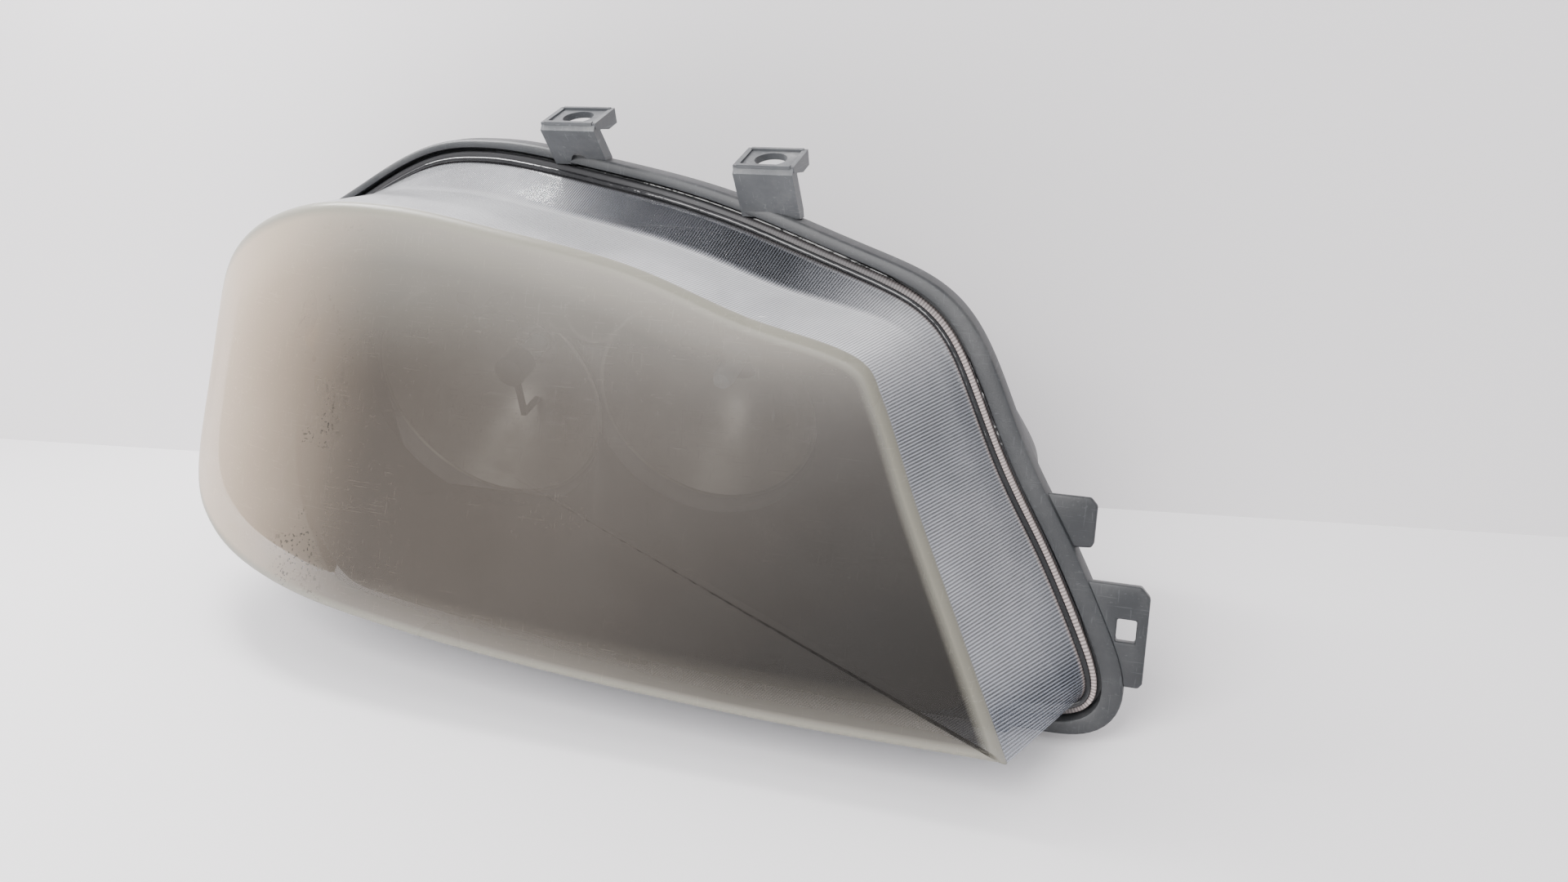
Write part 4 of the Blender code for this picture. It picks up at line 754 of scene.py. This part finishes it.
def back_ring(level, share, wall):
    """A squarish oval on the rear wall, of power 5, kept inside the seat by a power mean of their reaches."""
    offset = seat_ring - BACK_CENTRE
    angle = np.arctan2(offset[:, 1] / BACK_HALF[1], offset[:, 0] / BACK_HALF[0])
    c, s = np.cos(angle), np.sin(angle)
    size = (np.abs(c) ** 5 + np.abs(s) ** 5) ** -0.2
    half = (BACK_HALF - wall) * share
    oval = np.stack([c * size * half[0], s * size * half[1]], axis=1)
    reach = np.linalg.norm(oval, axis=1)
    inner_seat = seat_ring - seat_normal * (BACK_INSET + wall)
    limit = reach_of_outline(inner_seat, BACK_CENTRE, np.arctan2(oval[:, 1], oval[:, 0]))
    kept = (reach ** -30.0 + (limit * share) ** -30.0) ** (-1 / 30.0)
    flat = BACK_CENTRE + oval * (kept / reach)[:, None]
    return np.stack([flat[:, 0], back_y(flat[:, 1], level), flat[:, 1]], axis=1)


def tub_rings(wall, level):
    """The tub from its flange to its rear wall; the corner between them is rounded."""
    rim = on_seat(-0.8 - wall, 10.5)
    heel = back_ring(level - 6, 1.0, wall)
    sides = [rim + (heel - rim) * share for share in np.linspace(0, 0.94, 12)]
    rounding = [back_ring(level - 6 * (1 - math.sin(a)), 1 - 0.04 * (1 - math.cos(a)), wall)
                for a in np.linspace(0.2, math.pi / 2, 5)]
    return sides + rounding + [back_ring(level, share, wall) for share in (0.85, 0.6, 0.3)]


rim_width = 10.5 + 5.0 * np.maximum(seat_normal[:, 0], 0)
rim = [
    on_seat(rim_width - 0.4, 10.5), on_seat(rim_width, 10.0), on_seat(rim_width, 1.2),
    on_seat(rim_width - 0.35, 0.35), on_seat(rim_width - 1.2, 0), on_seat(7.4, 0), on_seat(6.7, 0.25),
    on_seat(6.5, 0.8), on_seat(6.5, 8.0), on_seat(-3.3, 8.0),
]
housing_rows = np.array(tub_rings(0, 80.5)[::-1] + rim + tub_rings(SHELL, 78.0)[1:])
housing_mesh = skin_mesh("housing_shell", housing_rows, poles=(True, True))
show("housing_shell", housing_mesh, housing_plastic, "lamp", "grey_housing", "housing")


# %% [markdown]
# ### Fixing tabs and lugs
# Two tabs stand on the top of the flange. Each is a thick web that leans forward, and a plate with a shallow
# pocket, a round hole and a taller inboard cheek. They are cut shapes with softened edges, so an outline
# is drawn, given thickness, carved, and then bevelled.

# %% Cut and bevelled shapes
def slab(name, outline, thickness, matrix):
    """An outline in a plane, thickened evenly to both sides, then placed by a matrix, in millimetres."""
    shape = bmesh.new()
    half = thickness / 2
    ring = [shape.verts.new((x, y, -half)) for x, y in outline]
    face = shape.faces.new(ring)
    raised = bmesh.ops.extrude_face_region(shape, geom=[face])
    moved = [v for v in raised["geom"] if isinstance(v, bmesh.types.BMVert)]
    bmesh.ops.translate(shape, verts=moved, vec=(0, 0, thickness))
    bmesh.ops.recalc_face_normals(shape, faces=shape.faces)
    bmesh.ops.transform(shape, matrix=matrix, verts=shape.verts)
    mesh = bpy.data.meshes.new(name)
    shape.to_mesh(mesh)
    shape.free()
    return mesh


def barrel(name, radius, low, high, matrix, sides=48):
    """A round bar along its own Z from low to high, placed by a matrix, in millimetres."""
    shape = bmesh.new()
    middle = matrix @ Matrix.Translation((0, 0, (low + high) / 2))
    bmesh.ops.create_cone(shape, cap_ends=True, segments=sides, radius1=radius, radius2=radius,
                          depth=high - low, matrix=middle)
    mesh = bpy.data.meshes.new(name)
    shape.to_mesh(mesh)
    shape.free()
    return mesh


def carved(name, body, joined=(), removed=(), bevel=0.6):
    """Joins and cuts meshes with exact Booleans, softens the edges and takes the result to the scene."""
    scene = bpy.context.scene.collection
    whole = bpy.data.objects.new(name, body)
    scene.objects.link(whole)
    helpers = []
    for operation, meshes in (("UNION", joined), ("DIFFERENCE", removed)):
        for mesh in meshes:
            helper = bpy.data.objects.new(name + "_tool", mesh)
            scene.objects.link(helper)
            helpers.append(helper)
            step = whole.modifiers.new(operation, "BOOLEAN")
            step.operation = operation
            step.object = helper
    if bevel:
        edge = whole.modifiers.new("Soft edges", "BEVEL")
        edge.width = bevel
        edge.segments = 3
        edge.limit_method = "ANGLE"
        edge.angle_limit = math.radians(40)
    bpy.context.view_layer.update()
    mesh = bpy.data.meshes.new_from_object(whole.evaluated_get(bpy.context.evaluated_depsgraph_get()))
    for used in (whole, *helpers):
        bpy.data.objects.remove(used)
    mesh.transform(Matrix.Diagonal((MM, MM, MM, 1)) @ Matrix.Translation(DATUM))
    mesh.shade_smooth()
    mesh.set_sharp_from_angle(angle=math.radians(32))
    return mesh


# %% Fixing tabs
UPRIGHT = Matrix(((0, 0, 1, 0), (1, 0, 0, 0), (0, 1, 0, 0), (0, 0, 0, 1)))
TAB_WIDTH, TAB_LENGTH, TAB_WALL, TAB_HOLE = 28.0, 24.0, 3.0, 7.5
TAB_RISE = math.tan(TILT)


def top_of_seat(x):
    """The seat's height at x, along its top."""
    upper = seat_normal[:, 1] > 0.5
    order = np.argsort(seat_ring[upper, 0])
    return float(np.interp(x, seat_ring[upper, 0][order], seat_ring[upper, 1][order]))


def tab_mesh(name, x, top, front):
    """A leaning web under a plate that rises to the rear, with a pocket, a hole and two cheeks."""
    root = max(top_of_seat(x - 14), top_of_seat(x + 14)) + 6.6
    heel = float(seat_y(np.array(x), root)) + 2
    back = front + TAB_LENGTH
    back_top = top + TAB_LENGTH * TAB_RISE
    outline = [
        (heel, root - 2), (front + 0.6, top - 2.2), (front + 2.2, top + 0.3), (back, back_top),
        (back, back_top - TAB_WALL), (front + 8, top - TAB_WALL + 1), (heel + 5, root + 2), (heel + 6, root - 2),
    ]
    body = slab(name, outline, TAB_WIDTH, Matrix.Translation((x, 0, 0)) @ UPRIGHT)
    middle = (x, front + 13, top + 13 * TAB_RISE)
    plate = Matrix.Translation(middle) @ Matrix.Rotation(TILT, 4, "X")
    cheeks = []
    for where, deep in ((-1, 4.0), (1, 6.5)):
        rim_line = [(-11.2, 0.8), (11.4, 0.8), (11.4, -deep), (2, -deep), (-11.2, -2.0)]
        cheek_at = plate @ Matrix.Translation((where * (TAB_WIDTH / 2 - 0.9), 0, 0))
        cheeks.append(slab(name, rim_line, 2.4, cheek_at @ UPRIGHT))
    bar = [(-12.5, -11.6), (12.5, -11.6), (12.5, -9.6), (-12.5, -9.6)]
    cheeks.append(slab(name, bar, 1.6, plate @ Matrix.Translation((0, 0, 0.4))))
    cheeks.append(slab(name, [(u, v + 21) for u, v in bar], 1.6, plate @ Matrix.Translation((0, 0, 0.4))))
    hole = barrel(name, TAB_HOLE, -22, 12, plate)
    return carved(name, body, cheeks, [hole], 0.5)


TABS = {"outer_tab": (-238.0, 219.0, 130.0), "inner_tab": (-136.0, 203.5, 117.0)}
for tab_name, (x, top, front) in TABS.items():
    show(tab_name, tab_mesh(tab_name, x, top, front), dusty_plastic, "lamp", "grey_housing",
         tab_name.replace("tab", "fixing_tab"))

# %% Inboard lugs
LEAN = math.atan(SEAT_RAKE)
flange_plane = Matrix.Translation((0, 71.4, 0)) @ Matrix.Rotation(math.pi / 2 - LEAN, 4, "X")
upper_lug = [(6, 54), (20, 55), (21, 57), (21, 72), (18, 75), (-6, 75)]
lower_lug = [(34, 2), (44.5, 2), (46, 4), (46, 38), (42, 42), (16, 42)]


def leaning(outline):
    """Heights along the leaning flange, from heights above the bench."""
    return [(x, z / math.cos(LEAN)) for x, z in outline]


slot = slab("slot", leaning([(33.5, 19.5), (41.5, 19.5), (41.5, 28.5), (33.5, 28.5)]), 40, flange_plane)
lug_mesh = carved("upper_lug", slab("upper_lug", leaning(upper_lug), 5, flange_plane), bevel=0.9)
show("upper_lug", lug_mesh, housing_plastic, "lamp", "grey_housing")
lower_slab = slab("lower_lug", leaning(lower_lug), 8, flange_plane)
lug_mesh = carved("lower_lug", lower_slab, removed=[slot], bevel=0.9)
show("lower_lug", lug_mesh, housing_plastic, "lamp", "grey_housing", "lower_fixing_lug")

# %% Feet and collars
def foot(name, x, outline, width, bevel):
    """A block under the housing: its side outline, thickened across the lamp at x."""
    block = slab(name, outline, width, Matrix.Translation((x, 0, 0)) @ UPRIGHT)
    show(name, carved(name, block, bevel=bevel), housing_plastic, "lamp", "grey_housing")


for foot_name, x in (("rear_foot_inboard", -62.0), ("rear_foot_outboard", -352.0)):
    foot(foot_name, x, [(181, FLOOR), (211, FLOOR), (209, 9), (183, 9)], 9, 1.2)
for foot_name, x in (("front_foot_inboard", -14.0), ("front_foot_outboard", -186.0)):
    near = float(seat_y(np.array(x), -20))
    foot(foot_name, x, [(near + 2, FLOOR), (near + 10, FLOOR), (near + 10, -15), (near + 2, -15)], 16, 1.0)


def turned_mesh(name, profile, at, sides=128):
    """A profile of (radius, distance back) carried round the beam axis through a point of the optics frame.

    Each row is a circle: x = at_x + r cos a, z = at_z + r sin a, y = the distance back.
    """
    angle = np.linspace(0, 2 * math.pi, sides, endpoint=False)
    r, h = np.array(profile, float).T
    rows = optics_to_lamp(at[0] + r[:, None] * np.cos(angle), h[:, None] + 0 * angle,
                          at[1] + r[:, None] * np.sin(angle))
    return skin_mesh(name, rows, close_rows=True)


LOW_AT, HIGH_AT, POSITION_AT, TURN_AT = (-60.0, 0.0), (55.0, 6.0), (2.0, 45.0), (-186.0, 0.0)
for collar_name, radius, at in (("low_collar", 50.0, LOW_AT), ("high_collar", 42.0, HIGH_AT)):
    ring = [(radius, 80.2), (radius, 83.2), (radius - 0.6, 84), (radius - 3.4, 84), (radius - 4, 83.2),
            (radius - 4, 80.2)]
    show(collar_name, turned_mesh(collar_name, ring, at), housing_plastic, "lamp", "grey_housing")

# %% [markdown]
# ## Behind the lens
# The bezel runs from just inside the lens to a figure-of-eight opening. The bowls behind it are turned
# parabolas. The turn signal's chamber is a loft from its bulb hole to the lens, with the facets that
# spread its light.


# %% Bezel
BEZEL_CLIP, BEZEL_LEVEL, SET_BACK, BEHIND_LENS = 77.5, -35.0, 13.0, 8.0
EYE_CENTRE = (-4, 0)
angles = np.arange(AROUND) * 2 * math.pi / AROUND
bezel_centre = np.array([OPTICS_AT[0] - 4, OPTICS_AT[2] - 9])
low_mid = optics_to_lamp(LOW_AT[0], BEZEL_LEVEL, LOW_AT[1])
inset = face_ring - face_normal * BEHIND_LENS
lens_reach = reach_of_outline(inset, bezel_centre, angles)
circle_reach = reach_of_circle(bezel_centre, (low_mid[0], low_mid[2]), BEZEL_CLIP, angles)
across = np.cos(angles)
to_line = np.where(across < 0, (low_mid[0] - bezel_centre[0]) / np.minimum(across, -1e-6), 1e4)
height = np.abs(bezel_centre[1] + to_line * np.sin(angles) - low_mid[2])
clip = np.where(across < 0, np.where(height < BEZEL_CLIP, circle_reach, to_line), 1e4)
reach = np.minimum(lens_reach, clip)
rim_flat = bezel_centre + reach[:, None] * np.stack([np.cos(angles), np.sin(angles)], axis=1)
openings = ((LOW_AT, 62.0), (HIGH_AT, 55.5), (POSITION_AT, 17.0))
eye = np.maximum.reduce([reach_of_circle(EYE_CENTRE, at, radius, angles) for at, radius in openings])
inner = optics_to_lamp(EYE_CENTRE[0] + eye * np.cos(angles), BEZEL_LEVEL, eye * np.sin(angles))
rim_flat = soften(rim_flat, 4.0)
front = np.stack([rim_flat[:, 0], face_y(rim_flat[:, 0], rim_flat[:, 1]) + SET_BACK, rim_flat[:, 1]], axis=1)
front_side = []
for t in np.linspace(0, 1, 18):
    ring = inner + (front - inner) * t
    ring[:, 1] += 9.0 * t * (1 - t)
    front_side.append(soften(ring, 30.0 * t ** 0.8 * (1 - t) ** 0.35) if 0 < t < 1 else ring)
front_side = np.array(front_side)
radial = np.stack([np.cos(angles), 0 * angles, np.sin(angles)], axis=1)
along = soften(front - inner, 6.0)
behind = radial * -along[:, 1:2] + np.array((0, 1.0, 0)) * np.sum(along * radial, axis=1)[:, None]
behind *= 2.0 / np.linalg.norm(behind, axis=1)[:, None]
bezel_rows = np.concatenate([front_side, (front_side + behind)[::-1]])
bezel_mesh = skin_mesh("mask", bezel_rows, close_rows=True)
show("mask", bezel_mesh, bezel_plastic, "lamp", "dark_bezel", "bezel")


# %% Bowls
def bowl_profile(radius, depth, hole, rim_level=-26.0, wall=2.0):
    """A parabola, h = rim + depth (1 - (r/R)^2), its back offset by the wall, and the rim between them."""
    r = np.linspace(hole, radius, 30)
    h = rim_level + depth * (1 - (r / radius) ** 2)
    slope = 2 * depth * r / radius ** 2
    size = np.hypot(slope, 1)
    behind = np.stack([r + wall * slope / size, h + wall / size], axis=1)
    return [*zip(r, h), (radius + 0.6, rim_level), (behind[-1][0], rim_level), *map(tuple, behind[::-1])]


BULB_HOLE = 12.0
for beam, radius, depth, at in (("low", 58.0, 52.0, LOW_AT), ("high", 51.5, 46.0, HIGH_AT)):
    bowl = turned_mesh(f"{beam}_bowl", bowl_profile(radius, depth, BULB_HOLE), at)
    show(f"{beam}_bowl", bowl, mirror_coat, "reflector", "reflector_mirror", f"{beam}_beam_reflector")

# %% Turn-signal chamber
TURN_HOLE, TURN_DEPTH = 13.0, 22.0
hole = optics_to_lamp(TURN_AT[0] + TURN_HOLE * np.cos(angles), TURN_DEPTH, TURN_HOLE * np.sin(angles))
chamber_centre = (OPTICS_AT[0] + TURN_AT[0], OPTICS_AT[2])
chamber = np.minimum(reach_of_outline(inset, chamber_centre, angles),
                     reach_of_circle(chamber_centre, (low_mid[0], low_mid[2]), 82.5, angles, far=False))
flat = np.array(chamber_centre) + chamber[:, None] * np.stack([np.cos(angles), np.sin(angles)], axis=1)
mouth = np.stack([flat[:, 0], face_y(flat[:, 0], flat[:, 1]) + SET_BACK, flat[:, 1]], axis=1)
facets = 0.9 * np.abs(np.sin(angles * 18))
rows = []
for t in np.linspace(0, 1, 18):
    ring = hole + (mouth - hole) * t
    ring[:, 1] += 66.0 * t * (1 - t) ** 1.1 + facets * 4 * t * (1 - t)
    rows.append(ring)
out = (mouth - hole) / np.linalg.norm(mouth - hole, axis=1)[:, None] * (1, 0, 1) * 2.0
rows += [ring + out + np.array((0, 2.5, 0)) for ring in rows[:0:-2]] + [hole + out + np.array((0, 3, 0))]
chamber_mesh = skin_mesh("turn_signal_chamber", np.array(rows), close_rows=True)
show("turn_signal_chamber", chamber_mesh, mirror_coat, "lamp", "reflector_mirror", "turn_signal_reflector")

# %% [markdown]
# ## The other pieces
# The bulbs, covers, motor, knobs, vents and clips keep their CAD shapes, and take the finishes above.

# %% Finishes for the CAD pieces
FINISH = {
    "glass": (bulb_glass, ["low_beam_bulb_glass", "high_beam_bulb_glass", "position_bulb"]),
    "amber": (amber_glass, ["turn_signal_bulb"]),
    "steel": (zinc_steel, [
        "low_beam_bulb_base", "low_beam_bulb_seat", "low_beam_bulb_clip", "high_beam_bulb_base",
        "high_beam_bulb_seat", "high_beam_bulb_clip", "pivot_stud", "side_adjuster_screw"]),
    "dark": (dark_metal, ["low_beam_glare_shield"]),
    "mirror": (mirror_coat, ["position_lamp_reflector"]),
    "black": (black_plastic, [
        "levelling_motor", "low_beam_cover", "high_beam_cover", "connector_socket", "low_beam_lead",
        "high_beam_lead"]),
    "grey": (grey_plastic, [
        "low_beam_bulb_plug", "high_beam_bulb_plug", "height_adjuster_knob", "side_adjuster_knob",
        "turn_signal_bulb_holder"]),
    "white": (white_plastic, ["pivot_ball", "levelling_push_rod"]),
    "rubber": (black_rubber, [
        "position_bulb_holder", "low_beam_cover_gasket", "high_beam_cover_gasket", "vent_cap_1", "vent_cap_2"]),
    "carrier": (carrier_plastic, ["reflector_carrier"]),
}
for material, names in FINISH.values():
    for name in names:
        nodes[name].material_slots[0].material = material
print("finished", sum(len(names) for _, names in FINISH.values()), "CAD pieces")
